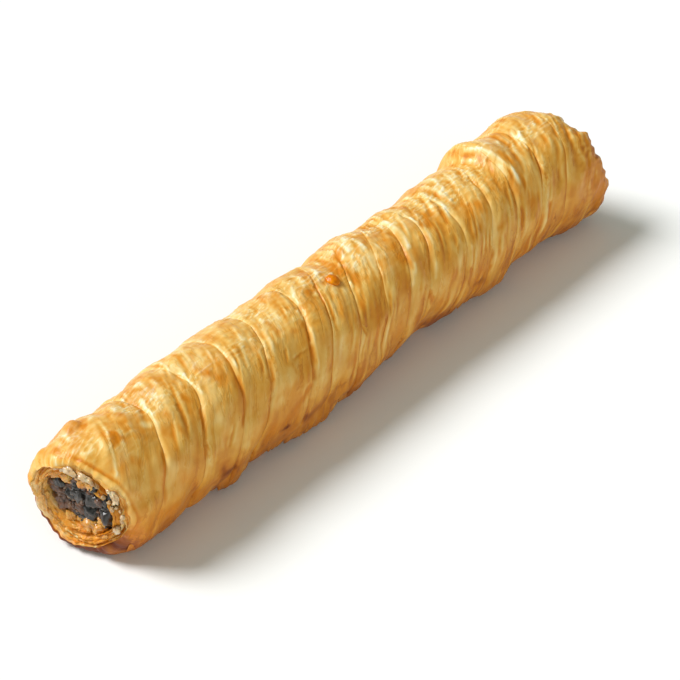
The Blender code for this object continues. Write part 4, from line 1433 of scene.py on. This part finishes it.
def caramelDrop():
    deselectAll()
    bpy.ops.mesh.primitive_uv_sphere_add(segments=40, ring_count=24, radius=mm)
    piece = bpy.context.object
    piece.name = "caramelDrop"
    station, angle = np.array([drop["station"]]), np.array([drop["angle"]])
    radius = girthAt(station, angle) + drop["lift"]
    centre = Vector(placed(station, radius, angle)[0])
    for vert in piece.data.vertices:
        point = vert.co / mm
        swell = 1.0 + sum(reach * noise.noise(point * pitch) for pitch, reach in drop["swells"])
        vert.co = Vector([value * size for value, size in zip(vert.co * swell, drop["radii"])])
    tilt = Matrix.Rotation(math.radians(90.0 - drop["angle"]), 4, "X")
    piece.data.transform(Matrix.Translation(centre) @ tilt)
    choose(piece)
    bpy.ops.object.shade_smooth()
    return piece


finishPiece(caramelDrop(), caramel)
print("drop made")


# floor, light and camera

studio = {
    "floorSize": 6.0,
    "floorShade": 0.98,
    "world": 0.25,
    "worldTint": (0.93, 1.0, 0.88),
    # the way to each light, its size in degrees, its power and its tint
    "lights": (
        ("windowLight", (-0.36, 0.58, 0.73), 26.0, 3.3, (1.0, 1.0, 1.0)),
        ("roomLight", (-0.50, -0.85, 0.20), 70.0, 0.95, (0.95, 1.0, 0.92)),
    ),
}


def floorPiece():
    deselectAll()
    bpy.ops.mesh.primitive_plane_add(size=studio["floorSize"])
    piece = bpy.context.object
    piece.name = "floor"
    material, _, shader = newMaterial("paleFloor")
    shade = studio["floorShade"]
    setSockets(shader, {
        "Base Color": (shade, shade, shade, 1.0), "Roughness": 0.9, "Specular IOR Level": 0.0,
    })
    piece.data.materials.append(material)


def distantLight(name, way, size, power, tint):
    deselectAll()
    bpy.ops.object.light_add(type="SUN", location=(0.0, 0.5, 0.5))
    light = bpy.context.object
    light.name = name
    light.data.angle = math.radians(size)
    light.data.energy = power
    light.data.color = tint
    light.rotation_euler = Vector(way).to_track_quat("Z", "Y").to_euler()


def world():
    made = bpy.data.worlds.new("studio")
    made.use_nodes = True
    background = made.node_tree.nodes["Background"]
    setSockets(background, {"Color": (*studio["worldTint"], 1.0), "Strength": studio["world"]})
    bpy.context.scene.world = made


view = {
    "elevation": 38.0,
    "azimuth": 49.787,
    "distance": 0.85216,
    "lens": 152.37,
    "sensor": 36.0,
    # what the camera looks at, before the small shift across the picture
    "target": (-0.0072052, -0.0081288, 0.0193930),
    "across": 0.00062,
    "upward": -0.00112,
}


def camera():
    turn, tilt = math.radians(view["azimuth"]), math.radians(view["elevation"])
    right = Vector((math.cos(turn), -math.sin(turn), 0.0))
    away = Vector((math.sin(turn), math.cos(turn), 0.0))
    up = Vector((0.0, 0.0, 1.0))
    forward = away * math.cos(tilt) - up * math.sin(tilt)
    upright = away * math.sin(tilt) + up * math.cos(tilt)
    target = Vector(view["target"]) + right * view["across"] + upright * view["upward"]
    bpy.ops.object.camera_add()
    made = bpy.context.object
    matrix = Matrix((right, upright, -forward)).transposed().to_4x4()
    matrix.translation = target - forward * view["distance"]
    made.matrix_world = matrix
    made.data.lens = view["lens"]
    made.data.sensor_width = view["sensor"]
    made.data.clip_start = 0.01
    bpy.context.scene.camera = made


floorPiece()
for light in studio["lights"]:
    distantLight(*light)
world()
camera()
bpy.context.scene.view_settings.view_transform = "Standard"
print("studio set")
